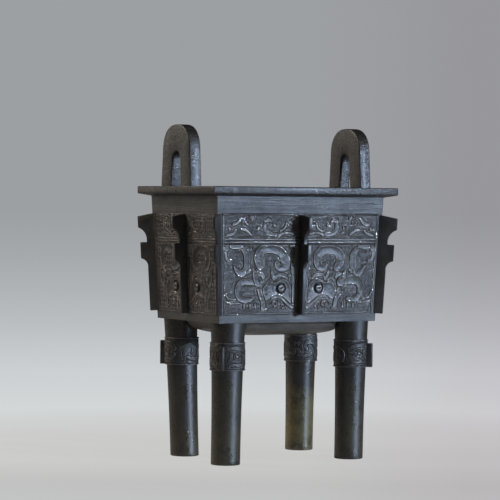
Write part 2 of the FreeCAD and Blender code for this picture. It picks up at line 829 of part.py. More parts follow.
def make_panel(zone, side, half, low, high, strokes, eye=None):
    """Half of a side's ornament: a plate let into the wall, and its raised strokes."""
    sign = -1 if half == "left" else 1
    near = size("flange_thickness") * HALF
    low_far, high_far = panel_reach(side, low), panel_reach(side, high)
    frame = side_frame(side)
    name = f"{zone}_panel_{side}_{half}"
    body = new_body(f"{name}_plate")
    sketch = sketch_on(body, "XY_Plane")
    if sign > 0:
        outline(sketch, [(near, low), (low_far, low), (high_far, high), (near, high)])
    else:
        outline(sketch, [(-near, low), (-near, high), (-high_far, high), (-low_far, low)])
    pad(body, sketch, size("inlay_depth"), downward=True)
    body.Placement = frame
    relief = float(size("ornament_relief"))
    depth = float(size("inlay_depth")) * HALF
    trim_near = float(near + size("panel_flange_gap"))
    trim = [(trim_near, low), (low_far, low), (high_far, high), (trim_near, high)]
    corners = [Vector(float(x) * sign, float(y), -depth) for x, y in trim]
    field = Part.Face(Part.makePolygon(corners + corners[:1]))
    field = field.extrude(Vector(0, 0, depth + relief))
    solids = [stroke_solid([Vector(x * sign, y, 0) for x, y in places], width, depth, relief)
              for width, places in strokes]
    raised = solids[0].fuse(solids[1:]).common(field)
    ornament = part_feature(f"{name}_ornament", raised, frame)
    panel = joined(f"{name}_whole", [body, ornament])
    if eye is not None:
        panel = cut(f"{name}_socketed", panel, eye)
    return body, keep(panel, name)


def placed_strokes(table, across, start, low, height):
    """Strokes of a table of shares as real places from the middle of the side."""
    strokes = []
    for width, shares in table:
        places = [(start + share_x * across, low + share_y * height)
                  for share_x, share_y in shares]
        strokes.append((float(size(width)), places))
    return strokes


def ridge_strokes(reach, low):
    """The two straight ridges under the frieze."""
    near = float(size("flange_thickness"))
    width = float(size("ridge_width"))
    strokes = []
    for level in (low + width, low + width + float(size("ridge_pitch"))):
        strokes.append((width, [(near, level), (reach, level)]))
    return strokes


def make_eye(side, half):
    """A round eye with a domed top, its stub in a socket of the mask panel."""
    sign = -1 if half == "left" else 1
    body = new_body(f"mask_eye_{side}_{half}")
    profile = sketch_on(body, "XZ_Plane")
    radius = size("eye_radius")
    collar = size("eye_collar")
    height = size("eye_height")
    rise = height - collar
    dome_radius = arch_radius(radius, rise)
    outline(profile, [
        (ZERO, -size("inlay_depth")),
        (radius, -size("inlay_depth")),
        (radius, collar),
        (ZERO, height, dome_radius, -1),
    ])
    turned = body.newObject("PartDesign::Revolution", f"{body.Name}_turn")
    turned.Profile = profile
    turned.ReferenceAxis = (profile, ["V_Axis"])
    turned.Angle = FULL_TURN
    place = Vector(float(size("eye_spacing")) * HALF * sign, float(size("eye_level")), 0)
    body.Placement = side_frame(side).multiply(Placement(place, Rotation()))
    return keep(body, f"mask_eye_{side}_{half}")


def make_side_ornament(side):
    """Both mask panels and both frieze panels of a side; returns the let-in plates."""
    on_long_side = SIDES[side][0] == "length"
    masks, friezes = [], []
    for half in ("left", "right"):
        eye = make_eye(side, half)
        reach = float(panel_reach(side, ZERO))
        mask_reach = float(size("mask_reach"))
        strokes = placed_strokes(MASK_STROKE_SHARES, mask_reach, 0, 0, float(mask_height))
        if on_long_side:
            strokes += placed_strokes(SIDE_DRAGON_STROKE_SHARES, reach - mask_reach, mask_reach,
                                      0, float(mask_height))
        plate, _ = make_panel("mask", side, half, ZERO, mask_height, strokes, eye)
        masks.append(plate)
        ridges_top = float(size("ridge_width") * 2 + size("ridge_pitch"))
        low = float(mask_height)
        strokes = placed_strokes(FRIEZE_STROKE_SHARES, reach, 0, low + ridges_top,
                                 float(size("frieze_height")) - ridges_top)
        strokes += ridge_strokes(reach, low)
        plate, _ = make_panel("frieze", side, half, mask_height, zone_height, strokes)
        friezes.append(plate)
    return masks, friezes


# Assembly.

for leg in LEGS:
    make_leg(leg)
    make_leg_core(leg)
    sleeve, centre = make_leg_band(leg)
    make_leg_flange(leg, sleeve, centre)

outer_form = tapered_block("outer_form", body_bottom, size("body_height"), ZERO)
for corner in LEGS:
    make_corner_flange(corner, outer_form)
for side in SIDES:
    make_side_flange(side, outer_form)

plates = {"mask": [], "frieze": []}
for side in SIDES:
    masks, friezes = make_side_ornament(side)
    plates["mask"] += masks
    plates["frieze"] += friezes

make_body(plates)
make_floor()
make_rim()
for side in ("left", "right"):
    make_ear(side)

doc.recompute()

broken = [item.Name for item in doc.Objects if {"Invalid", "Error"} & set(item.State)]
for node in nodes:
    if node.Shape.isNull() or not node.Shape.isValid() or not node.Shape.Solids:
        broken.append(node.Label)
if broken:
    raise RuntimeError("these did not build: " + ", ".join(sorted(set(broken))))

os.makedirs("parts", exist_ok=True)
for node in nodes:
    node.Shape.exportStep(f"parts/{node.Label}.step")
    print(node.Label, len(node.Shape.Solids), "solid,", round(node.Shape.Volume), "cubic mm")
print(len(nodes), "nodes")
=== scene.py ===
# %% [markdown]
# A rectangular ritual vessel of cast bronze, made as a lesson in small steps.
#
# The vessel is a four-walled box on four round legs, with a flaring rim, two upright
# ears, hooked flanges and cast ornament. The solid model of its pieces is loaded first
# as a fixed frame. Each step below makes the finished surface of one kind of piece
# right where that piece is, and gives it the look of old, waxed, dark bronze.

import math

import bmesh
import bpy
import numpy as np
from bmesh.types import BMEdge, BMFace, BMVert
from mathutils import Matrix, Vector


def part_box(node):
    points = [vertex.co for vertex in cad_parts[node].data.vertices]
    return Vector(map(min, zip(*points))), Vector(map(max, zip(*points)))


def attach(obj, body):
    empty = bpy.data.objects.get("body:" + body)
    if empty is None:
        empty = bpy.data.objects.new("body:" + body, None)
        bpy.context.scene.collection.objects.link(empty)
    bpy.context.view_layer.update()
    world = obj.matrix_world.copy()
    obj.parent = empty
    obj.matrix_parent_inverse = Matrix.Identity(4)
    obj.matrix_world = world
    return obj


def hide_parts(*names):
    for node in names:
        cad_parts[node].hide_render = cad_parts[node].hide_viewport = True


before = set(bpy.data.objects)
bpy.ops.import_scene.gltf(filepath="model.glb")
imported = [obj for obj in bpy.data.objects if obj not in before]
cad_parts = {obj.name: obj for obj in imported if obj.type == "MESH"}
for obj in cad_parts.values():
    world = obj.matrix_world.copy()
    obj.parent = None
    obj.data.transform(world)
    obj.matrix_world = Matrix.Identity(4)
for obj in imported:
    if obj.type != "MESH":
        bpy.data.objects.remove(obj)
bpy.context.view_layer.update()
print(len(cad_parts), "pieces in the frame")

# %% [markdown]
# The frame is in metres, but a bronze caster thinks in millimetres, and so does this
# script: every mesh is shaped in millimetres and scaled once, when it is finished.
# The sizes that the solid model already holds are read back from it, so the looks
# can't drift from the construction. Only what can't be read off a box is named here.

# %% Sizes of the vessel, in millimetres
MM = 0.001


def box_mm(node):
    """The lowest and highest corner of a piece of the frame, in millimetres."""
    low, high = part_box(node)
    return low / MM, high / MM


RIM_HALF = box_mm("rim")[1]
RIM_LOW = box_mm("rim")[0].z
RIM_HIGH = RIM_HALF.z
RIM_UNDERSIDE_RISE = 1.8
BODY_LOW = box_mm("vessel_body")[0].z
BODY_TOP_HALF = box_mm("vessel_body")[1]
BODY_BOTTOM_HALF = Vector((67.25, 48.0))
BODY_HEIGHT = RIM_LOW - BODY_LOW
WALL = 4.0
ZONE_LOW, ZONE_HEIGHT, MASK_HEIGHT = 110.0, 74.9, 53.1
PANEL_NEAR = box_mm("mask_panel_front_right")[0].x
PANEL_MARGIN, PANEL_DEPTH = 3.4, 1.0
print("rim", [round(v, 1) for v in RIM_HALF], "body from", round(BODY_LOW, 1))

# %% [markdown]
# Every wall leans out a little as it goes up. Ornament, eyes and flanges are easiest to
# shape lying flat, with X along the wall, Y up it and Z out of it, and a matrix for each
# side then stands them on their wall. One function works out the wall's half length at
# any height, because the ornament field widens with the wall.

# %% Walls and their frames
LONG, SHORT = 0, 1
# each side: direction of its length, direction of its depth, turn from the front
SIDES = {
    "front": (LONG, SHORT, 0.0),
    "right": (SHORT, LONG, math.pi / 2),
    "back": (LONG, SHORT, math.pi),
    "left": (SHORT, LONG, -math.pi / 2),
}
HALVES = {"left": -1, "right": 1}
CORNERS = {"front_left": (-1, -1), "front_right": (1, -1), "back_left": (-1, 1), "back_right": (1, 1)}


def half_extent(direction, level):
    """Half the outer length (LONG) or width (SHORT) of the body at a level."""
    share = (level - BODY_LOW) / BODY_HEIGHT
    low = BODY_BOTTOM_HALF[direction]
    return low + (BODY_TOP_HALF[direction] - low) * share


def wall_lean(direction):
    return math.atan2(BODY_TOP_HALF[direction] - BODY_BOTTOM_HALF[direction], BODY_HEIGHT)


def side_frame(side):
    """Matrix from a flat ornament field to its place on a side of the body."""
    _, depth, turn = SIDES[side]
    upright = Matrix.Rotation(math.pi / 2 + wall_lean(depth), 4, "X")
    place = Matrix.Translation((0, -half_extent(depth, ZONE_LOW), ZONE_LOW))
    return Matrix.Rotation(turn, 4, "Z") @ place @ upright


def corner_frame(corner, foot):
    """Matrix that stands a piece at a foot, with its X pointing out over the corner."""
    x_sign, y_sign = CORNERS[corner]
    return Matrix.Translation(foot) @ Matrix.Rotation(math.atan2(y_sign, x_sign), 4, "Z")


def panel_far(side, up):
    """How far a panel reaches from the middle of its side, at a height in the field."""
    return half_extent(SIDES[side][0], ZONE_LOW + up) - PANEL_MARGIN


print("walls lean", [round(math.degrees(wall_lean(d)), 2) for d in (LONG, SHORT)], "degrees")

# %% [markdown]
# The camera stands low in front of the left corner, a long way off, so the edges hardly
# converge. Its turn, height and distance were worked out from the lines of the rim and
# the feet. It looks at a point a little left of the vessel's axis, and rolls by half a
# degree.

# %% Camera
CAMERA_TURN, CAMERA_DOWN, CAMERA_ROLL = math.radians(30.0), math.radians(1.1), math.radians(0.54)
CAMERA_DISTANCE = 1847.0
PIXELS_PER_MM, FRAME_PIXELS = 1.32, 500
TARGET_ACROSS, TARGET_UP = -12.48, 156.61
SENSOR_WIDTH = 36.0
FAR_CLIP = 100.0


def show(name, data):
    """Put an object made of some data into the scene."""
    thing = bpy.data.objects.new(name, data)
    bpy.context.scene.collection.objects.link(thing)
    return thing


ahead = Vector((math.sin(CAMERA_TURN) * math.cos(CAMERA_DOWN),
                math.cos(CAMERA_TURN) * math.cos(CAMERA_DOWN),
                -math.sin(CAMERA_DOWN)))
level_right = Vector((math.cos(CAMERA_TURN), -math.sin(CAMERA_TURN), 0))
level_up = level_right.cross(ahead)
right = level_right * math.cos(CAMERA_ROLL) + level_up * math.sin(CAMERA_ROLL)
up = level_up * math.cos(CAMERA_ROLL) - level_right * math.sin(CAMERA_ROLL)
target = level_right * TARGET_ACROSS + Vector((0, 0, TARGET_UP))

camera = show("camera", bpy.data.cameras.new("camera"))
camera.data.sensor_width = SENSOR_WIDTH
camera.data.lens = SENSOR_WIDTH * PIXELS_PER_MM * CAMERA_DISTANCE / FRAME_PIXELS
camera.data.clip_end = FAR_CLIP
camera.matrix_world = Matrix.Translation((target - ahead * CAMERA_DISTANCE) * MM) @ Matrix(
    (right, up, -ahead)).transposed().to_4x4()
bpy.context.scene.camera = camera
bpy.context.scene.view_settings.view_transform = "Standard"
print("lens", round(camera.data.lens, 1), "mm")

# %% [markdown]
# A material is a small tree of nodes. These helpers add a node and wire its inputs in
# one call, so that each finish below reads as a list of what it is made of. An input is
# either a plain value or another node's output, and a node joins the tree that its
# sources live in.

# %% Node helpers
def fill(node, inputs):
    """Give each input of a node its plain value, or wire another node's output to it."""
    for name, source in inputs.items():
        if isinstance(source, bpy.types.NodeSocket):
            node.id_data.links.new(source, node.inputs[name])
        else:
            node.inputs[name].default_value = source


def add_node(tree, kind, inputs=None, **settings):
    """Add a node of a kind, set its options, and fill its inputs."""
    node = tree.nodes.new("ShaderNode" + kind)
    for name, setting in settings.items():
        setattr(node, name, setting)
    fill(node, inputs or {})
    return node


def wire_up(kind, inputs, **settings):
    """Add a node to the tree that its sources live in."""
    sources = (item for item in inputs.values() if isinstance(item, bpy.types.NodeSocket))
    return add_node(next(sources).id_data, kind, inputs, **settings)


def maths(operation, first, second):
    return wire_up("Math", {0: first, 1: second}, operation=operation).outputs[0]


def plus(first, second):
    return maths("ADD", first, second)


def times(first, second):
    return maths("MULTIPLY", first, second)


def dot(place, way):
    """How far a place lies along a way."""
    return wire_up("VectorMath", {0: place, 1: way}, operation="DOT_PRODUCT").outputs["Value"]


def spread(source, low, high, to_low=0.0, to_high=1.0):
    """Stretch the part of a value between low and high over a new range."""
    inputs = dict(enumerate((source, low, high, to_low, to_high)))
    return wire_up("MapRange", inputs).outputs[0]


def between(share, to_low, to_high):
    return spread(share, 0.0, 1.0, to_low, to_high)


def noise(place, scale, detail=3.0, roughness=0.55):
    inputs = {"Vector": place, "Scale": scale, "Detail": detail, "Roughness": roughness}
    return wire_up("TexNoise", inputs).outputs["Fac"]


def blend(share, first, second, mode="MIX"):
    inputs = {0: share, 6: first, 7: second}
    return wire_up("Mix", inputs, data_type="RGBA", blend_type=mode).outputs[2]


def tint(colour, tone):
    return blend(1.0, colour, tone, "MULTIPLY")


def object_place(tree):
    return add_node(tree, "TexCoord").outputs["Object"]


def new_group(name, inputs, outputs):
    """An empty node group; a tuple stands for a colour and a number for a value."""
    group = bpy.data.node_groups.new(name, "ShaderNodeTree")
    for way, sockets in (("INPUT", inputs), ("OUTPUT", outputs)):
        for label, value in sockets.items():
            kind = "NodeSocketColor" if isinstance(value, tuple) else "NodeSocketFloat"
            socket = group.interface.new_socket(label, in_out=way, socket_type=kind)
            socket.default_value = value
    return group, group.nodes.new("NodeGroupInput"), group.nodes.new("NodeGroupOutput")


def new_material(name):
    """A material, its tree and its main shader."""
    material = bpy.data.materials.new(name)
    material.use_nodes = True
    return material, material.node_tree, material.node_tree.nodes["Principled BSDF"]


print("node helpers ready")

# %% [markdown]
# Old bronze that was cleaned and waxed has a dark brown to blue-black skin. Its tone
# drifts in clouds a few centimetres wide and in blotches of a few millimetres, and the
# wax lies unevenly, so the gloss drifts too. All finishes share this skin, so it is a
# group: each material places it with its own two tones.

# %% Skin: tone and gloss that drift over the surface
GREY = (0.1, 0.1, 0.1, 1)
# most of a noise lies in this range
NOISE_RANGE = (0.38, 0.62)
CLOUD_SCALE, BLOTCH_SCALE, WAX_SCALE = 28.0, 260.0, 90.0
CLOUD_SHARE, BLOTCH_SHARE = 0.55, 0.45
# a range of the noise, and what it adds to the roughness at each end
WAX_DRIFT = (0.35, 0.65, -0.07, 0.07)


def make_skin_group():
    group, given, made = new_group("bronze_skin", {"Light": GREY, "Dark": GREY, "Gloss": 0.35},
                                   {"Color": GREY, "Roughness": 0.35})
    place = object_place(group)
    clouds, blotches = noise(place, CLOUD_SCALE), noise(place, BLOTCH_SCALE, 4.0, 0.6)
    mottle = plus(times(clouds, CLOUD_SHARE), times(blotches, BLOTCH_SHARE))
    tone = spread(mottle, *NOISE_RANGE)
    dull = spread(noise(place, WAX_SCALE), *WAX_DRIFT)
    fill(made, {"Color": blend(tone, given.outputs["Dark"], given.outputs["Light"]),
                "Roughness": plus(given.outputs["Gloss"], dull)})
    return group


SKIN = make_skin_group()
print("group", SKIN.name)

# %% [markdown]
# Sand-fine pits and tiny hammer and file marks break the gloss of a casting into
# glitter. They are under half a millimetre, far too small to model, so they go in as
# bump: a grain of noise, and scattered pits from a Voronoi pattern.

# %% Grain: pits and grain as a height
GRAIN_SCALE, SWELL_SCALE, PIT_SCALE = 540.0, 160.0, 420.0
PIT_RADIUS, SWELL_SHARE = 0.28, 0.35


def make_grain_group():
    group, given, made = new_group("casting_grain", {"Grain": 0.5, "Pits": 0.5}, {"Height": 0.0})
    place = object_place(group)
    cells = add_node(group, "TexVoronoi", {"Vector": place, "Scale": PIT_SCALE})
    pits = spread(cells.outputs["Distance"], 0.0, PIT_RADIUS, -1.0, 0.0)
    grain, swell = noise(place, GRAIN_SCALE, 4.0, 0.75), noise(place, SWELL_SCALE, 2.0)
    height = plus(times(grain, given.outputs["Grain"]), times(pits, given.outputs["Pits"]))
    fill(made, {"Height": plus(height, times(swell, SWELL_SHARE))})
    return group


GRAIN = make_grain_group()
print("group", GRAIN.name)

# %% [markdown]
# The plain bands above and below the ornament were rubbed smooth along their length,
# which left fine level streaks. A noise that is squeezed in height and stretched along
# the wall gives them, in a fine and a broad layer.

# %% Streaks: fine level rubbing marks
# squeeze along each axis, detail and roughness of the noise, share of the layer
STREAK_LAYERS = (((22, 22, 1100), 4.0, 0.65, 0.6), ((9, 9, 260), 2.0, 0.55, 0.4))
STREAK_RANGE = (0.36, 0.64)


def make_streak_group():
    group, _, made = new_group("rubbing_streaks", {}, {"Streak": 0.0})
    place = object_place(group)
    layers = []
    for squeeze, detail, roughness, share in STREAK_LAYERS:
        squeezed = add_node(group, "Mapping", {"Vector": place, "Scale": squeeze}).outputs[0]
        layers.append(times(noise(squeezed, 1.0, detail, roughness), share))
    fill(made, {"Streak": spread(plus(*layers), *STREAK_RANGE)})
    return group


STREAKS = make_streak_group()
print("group", STREAKS.name)

# %% [markdown]
# All the bronze finishes are one dark bronze: part metal and part skin, with a thin coat
# of wax. They differ in their two tones, their gloss and their grain, so a table holds
# those, and one function turns a row of it into a material. The flanges need no more.
# The bottom's row is much paler and browner than the rest, and rougher.

# %% Bronze from a table
METAL = 0.2
WAX_ROUGHNESS = 0.2
GRAIN_HEIGHT = 0.00012
# light and dark tone of the skin, roughness, grain, pits, wax, index of refraction
BRONZES = {
    "plain": ((0.055, 0.050, 0.045, 1), (0.022, 0.019, 0.016, 1), 0.41, 2.4, 0.8, 0.05, 1.79),
    "cast": ((0.052, 0.044, 0.036, 1), (0.020, 0.016, 0.013, 1), 0.37, 3.2, 1.8, 0.05, 1.74),
    "relief": ((0.042, 0.038, 0.034, 1), (0.018, 0.016, 0.014, 1), 0.31, 3.5, 1.3, 0.10, 1.73),
    "leg": ((0.032, 0.027, 0.018, 1), (0.010, 0.008, 0.005, 1), 0.36, 1.5, 0.9, 0.1, 1.9),
    "flange": ((0.050, 0.045, 0.041, 1), (0.024, 0.021, 0.018, 1), 0.40, 2.0, 1.0, 0.1, 1.85),
    "rough": ((0.19, 0.165, 0.14, 1), (0.10, 0.086, 0.072, 1), 0.5, 1.0, 0.6, 0.2, 1.8),
}


def bronze(name, addition=None):
    """A finish from the table: the shared skin and grain, and an addition of its own."""
    light, dark, gloss, grain, pits, wax, ior = BRONZES[name]
    material, tree, shader = new_material(f"bronze_{name}")
    skin = add_node(tree, "Group", node_tree=SKIN)
    fill(skin, {"Light": light, "Dark": dark, "Gloss": gloss})
    grained = add_node(tree, "Group", node_tree=GRAIN)
    fill(grained, {"Grain": grain, "Pits": pits})
    look = {"Base Color": skin.outputs["Color"], "Roughness": skin.outputs["Roughness"],
            "Metallic": METAL, "IOR": ior, "Coat Weight": wax, "Coat Roughness": WAX_ROUGHNESS}
    height = grained.outputs[0]
    if addition:
        height = addition(tree, look, height)
    bump = add_node(tree, "Bump", {"Height": height, "Distance": GRAIN_HEIGHT})
    fill(shader, look | {"Normal": bump.outputs[0]})
    return material


FLANGE, ROUGH = bronze("flange"), bronze("rough")
print("finishes:", FLANGE.name, "and", ROUGH.name)

# %% [markdown]
# The plain walls carry the rubbing streaks, in tone, gloss and height. The rim and the
# ears kept the mottled skin of the casting, and glitter with fine specks of duller and
# brighter metal. An addition changes the look of a finish before it is wired up.

# %% Streaked walls and cast skin
# what streaks and specks change at their low and at their high end
STREAK_TONE, STREAK_DULLNESS, STREAK_HEIGHT = (0.7, 1.4), (0.08, -0.06), 1.3
SPECK_SCALE, CAST_GLITTER = 620.0, (0.16, -0.14)


def add_streaks(tree, look, height):
    streak = add_node(tree, "Group", node_tree=STREAKS).outputs[0]
    look["Base Color"] = tint(look["Base Color"], between(streak, *STREAK_TONE))
    look["Roughness"] = plus(look["Roughness"], between(streak, *STREAK_DULLNESS))
    return plus(height, times(streak, STREAK_HEIGHT))


def specks(place, scale):
    """Fine specks from 0 to 1."""
    return spread(noise(place, scale, 4.0, 0.8), *NOISE_RANGE)


def add_glitter(tree, look, height):
    glitter = between(specks(object_place(tree), SPECK_SCALE), *CAST_GLITTER)
    look["Roughness"] = plus(look["Roughness"], glitter)
    return height


PLAIN, CAST = bronze("plain", add_streaks), bronze("cast", add_glitter)
print("finishes:", PLAIN.name, "and", CAST.name)

# %% [markdown]
# The ornament is polished where hands and cloths reach, which is on the proud edges, and
# dull in the grooves, where its colour is also darkened as painted shade. A map could be
# baked for that, but the mesh knows its own heights, so it carries an attribute named
# lift, from 0 in a groove to 1 on a proud edge, and the finish reads it.

# %% Worn relief, with painted shade in its grooves
WORN_TONE, WORN_METAL = (0.37, 0.335, 0.30, 1), 0.8
# the range of a lift that counts, and the value at each end
# GROOVE_SHADE darkens the colour where the lift is low, in grooves and sockets: painted shade
GROOVE_SHADE, WEAR = (0.1, 0.5, 0.2, 1.0), (0.6, 1.0)
DUST, SHINE = (0.1, 0.48, 0.4, 0.0), (0.5, 1.0, 0.0, -0.1)
FINE_SPECK_SCALE, SPECK_TONE, RELIEF_GLITTER = 750.0, (0.3, 2.0), (0.15, -0.13)


def add_wear(tree, look, height):
    """Painted shade in the grooves, bare metal on proud edges, and specks over both."""
    lift = add_node(tree, "Attribute", attribute_name="lift").outputs["Fac"]
    worn = spread(lift, *WEAR)
    speck = specks(object_place(tree), FINE_SPECK_SCALE)
    # the colour is darkened in the grooves: painted shade
    groove_shaded = tint(look["Base Color"], spread(lift, *GROOVE_SHADE))
    look["Base Color"] = tint(blend(worn, groove_shaded, WORN_TONE), between(speck, *SPECK_TONE))
    look["Metallic"] = between(worn, METAL, WORN_METAL)
    dusty = plus(spread(lift, *DUST), spread(lift, *SHINE))
    look["Roughness"] = plus(look["Roughness"], plus(dusty, between(speck, *RELIEF_GLITTER)))
    return height


RELIEF = bronze("relief", add_wear)
print("finish:", RELIEF.name)

# %% [markdown]
# The legs are the darkest bronze. Towards the foot they turn olive in patches, where
# damp has changed the skin, most of all at the back right. The patches are a product of
# three masks: low on the leg, patchy, and towards that side.

# %% Olive legs
OLIVE_TONE, OLIVE_SIDE = (0.31, 0.24, 0.08, 1), (0.7, 0.7, 0)
DRIFT_SCALE, PATCH_SCALE = 45.0, 90.0
# the range of a noise or place that counts, and the value at each end
OLIVE_DRIFT, OLIVE_LEVEL = (0.3, 0.7, -0.03, 0.03), (-0.005, 0.06, 1.0, 0.0)
OLIVE_PATCHES, OLIVE_BACK = (0.36, 0.64, 0.15, 1.0), (0.02, 0.055, 0.22, 1.0)
LEG_GLITTER = (0.12, -0.1)


def add_olive(tree, look, height):
    place = object_place(tree)
    level = add_node(tree, "SeparateXYZ", {0: place}).outputs["Z"]
    low = spread(plus(level, spread(noise(place, DRIFT_SCALE), *OLIVE_DRIFT)), *OLIVE_LEVEL)
    patches = spread(noise(place, PATCH_SCALE, 4.0, 0.7), *OLIVE_PATCHES)
    strong = spread(dot(place, OLIVE_SIDE), *OLIVE_BACK)
    olive = times(times(low, patches), strong)
    look["Base Color"] = blend(olive, look["Base Color"], OLIVE_TONE)
    glitter = between(specks(place, SPECK_SCALE), *LEG_GLITTER)
    look["Roughness"] = plus(look["Roughness"], glitter)
    return height


LEG = bronze("leg", add_olive)
print("finish:", LEG.name)

# %% [markdown]
# The legs were cast round clay cores, which stay in them. Fired clay is rough, dry and
# grey-buff, and dark where the bronze touched it.

# %% Fired clay
CLAY_DARK, CLAY_LIGHT = (0.16, 0.12, 0.09, 1), (0.36, 0.29, 0.22, 1)
CLAY_SCALE, CLAY_RANGE = 120.0, (0.35, 0.65)
CLAY_GRAIN_SCALE, CLAY_GRAIN_HEIGHT = 900.0, 0.0003
CLAY_ROUGHNESS = 0.92


def fired_clay():
    material, tree, shader = new_material("clay_fired")
    place = object_place(tree)
    tone = spread(noise(place, CLAY_SCALE, 5.0, 0.65), *CLAY_RANGE)
    bump = add_node(tree, "Bump", {"Height": noise(place, CLAY_GRAIN_SCALE, 4.0),
                                   "Distance": CLAY_GRAIN_HEIGHT})
    fill(shader, {"Base Color": blend(tone, CLAY_DARK, CLAY_LIGHT),
                  "Roughness": CLAY_ROUGHNESS, "Normal": bump.outputs[0]})
    return material


CLAY = fired_clay()
print("finish:", CLAY.name)

# %% [markdown]
# Every piece is finished the same way: doubles merged, faces turned outwards, scaled to
# metres, shaded smooth except over real edges, and tied to the body it belongs to. It
# takes over the look of the solid of the same name, which stays for weight and touch.

# %% Finish a piece
MERGE = 0.001
EDGE_ANGLE = math.radians(32)


def mesh_from(bm, name):
    mesh = bpy.data.meshes.new(name)
    bm.to_mesh(mesh)
    bm.free()
    return mesh


def finish_piece(bm, node, material, place=None, lifts=None):
    """Turn a mesh shaped in millimetres into the finished piece for a node."""
    if lifts is None:
        bmesh.ops.remove_doubles(bm, verts=bm.verts[:], dist=MERGE)
    bmesh.ops.recalc_face_normals(bm, faces=bm.faces[:])
    to_metres = Matrix.Scale(MM, 4) @ (place or Matrix.Identity(4))
    bmesh.ops.transform(bm, matrix=to_metres, verts=bm.verts[:])
    for face in bm.faces:
        face.smooth = True
    mesh = mesh_from(bm, f"{node}_skin")
    if lifts is not None:
        attribute = mesh.attributes.new("lift", "FLOAT", "POINT")
        shares = np.zeros(len(mesh.vertices), np.float32)
        shares[:len(lifts)] = lifts
        attribute.data.foreach_set("value", shares)
    mesh.set_sharp_from_angle(angle=EDGE_ANGLE)
    mesh.materials.append(material)
    piece = show(f"{node}_skin", mesh)
    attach(piece, "root")
    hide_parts(node)
    return piece


def only(kind, items):
    return [item for item in items if isinstance(item, kind)]


def edges_where(bm, test):
    """The edges whose two ends both pass a test of their place."""
    return [edge for edge in bm.edges if all(test(vert.co) for vert in edge.verts)]


def highest_face(bm):
    return max(bm.faces, key=lambda face: face.calc_center_median().z)


def whole(faces):
    """Faces together with their edges and corners."""
    edges = {edge for face in faces for edge in face.edges}
    return [*faces, *edges, *{vert for face in faces for vert in face.verts}]


def soften(bm, edges, width, segments=3):
    """Round edges over, as wax, moulding and rubbing leave them."""
    bmesh.ops.bevel(bm, geom=edges, offset=width, offset_type="OFFSET", segments=segments,
                    profile=0.5, affect="EDGES", material=-1, clamp_overlap=True)


def pull(bm, faces, way):
    """Extrude faces as one region along a vector, and return the moved faces and points."""
    made = bmesh.ops.extrude_face_region(bm, geom=whole(faces))["geom"]
    moved = only(BMVert, made)
    bmesh.ops.translate(bm, vec=way, verts=moved)
    return only(BMFace, made), moved


def frustum(bm, low_half, high_half, low, high):
    """A block whose top and bottom differ in size."""
    for vert in bmesh.ops.create_cube(bm, size=2)["verts"]:
        half, level = (high_half, high) if vert.co.z > 0 else (low_half, low)
        vert.co = Vector((vert.co.x * half[0], vert.co.y * half[1], level))


def open_through(bm, low_half, high_half):
    """Open a block through its top and bottom faces, to a given half size at each."""
    loops = []
    for facing, half in ((-1, low_half), (1, high_half)):
        face = max(bm.faces, key=lambda item: item.normal.z * facing * item.calc_area())
        bmesh.ops.inset_region(bm, faces=[face], thickness=WALL, use_even_offset=True)
        for vert in face.verts:
            vert.co.x = math.copysign(half[0], vert.co.x)
            vert.co.y = math.copysign(half[1], vert.co.y)
        loops.append(face)
    edges = [edge for face in loops for edge in face.edges]
    bmesh.ops.delete(bm, geom=loops, context="FACES_ONLY")
    bmesh.ops.bridge_loops(bm, edges=edges)


print("piece helpers ready")

# %% [markdown]
# The body is a four-walled box, open above and below, that widens towards the top. It
# starts as a tapered block. The ornament is let into shallow seats in its walls: planes
# cut each wall along the seats' borders, and the faces inside move in. Then the four
# long corners are rounded.

# %% Body
FOOT_HALF = [half - WALL for half in BODY_BOTTOM_HALF]
MOUTH_HALF = [half - WALL for half in BODY_TOP_HALF.xy]
CORNER_ROUNDING = 0.8
TOUCH = 0.01


def on_wall(place, face):
    """Whether a face lies in the wall that a frame belongs to."""
    inverse = place.inverted()
    return all(abs((inverse @ vert.co).z) < TOUCH for vert in face.verts)


def cut_wall(bm, place, point, normal):
    """Cut the faces of one wall with a plane given in the wall's own frame."""
    geom = whole([face for face in bm.faces if on_wall(place, face)])
    bmesh.ops.bisect_plane(bm, geom=geom, plane_co=place @ Vector(point),
                           plane_no=place.to_3x3() @ Vector(normal))


def seat_ornament(bm, side):
    place = side_frame(side)
    inverse = place.inverted()
    far = panel_far(side, 0)
    widening = panel_far(side, ZONE_HEIGHT) - far
    for sign in HALVES.values():
        cut_wall(bm, place, (sign * PANEL_NEAR, 0, 0), (1, 0, 0))
        cut_wall(bm, place, (sign * far, 0, 0), (ZONE_HEIGHT, -sign * widening, 0))
    for level in (0, ZONE_HEIGHT):
        cut_wall(bm, place, (0, level, 0), (0, 1, 0))
    seats = []
    for face in bm.faces:
        middle = inverse @ face.calc_center_median()
        inside = PANEL_NEAR < abs(middle.x) < panel_far(side, middle.y)
        if on_wall(place, face) and inside and 0 < middle.y < ZONE_HEIGHT:
            seats.append(face)
    pull(bm, seats, place.to_3x3() @ Vector((0, 0, -PANEL_DEPTH)))


def at_corner(place):
    return (abs(abs(place.x) - half_extent(LONG, place.z)) < TOUCH
            and abs(abs(place.y) - half_extent(SHORT, place.z)) < TOUCH)


def make_body():
    bm = bmesh.new()
    frustum(bm, BODY_BOTTOM_HALF, BODY_TOP_HALF, BODY_LOW, RIM_LOW)
    open_through(bm, FOOT_HALF, MOUTH_HALF)
    for side in SIDES:
        seat_ornament(bm, side)
    upright = [edge for edge in edges_where(bm, at_corner)
               if abs(edge.verts[0].co.z - edge.verts[1].co.z) > WALL]
    soften(bm, upright, CORNER_ROUNDING)
    return finish_piece(bm, "vessel_body", PLAIN)


body = make_body()
print(body.name, len(body.data.polygons), "faces")

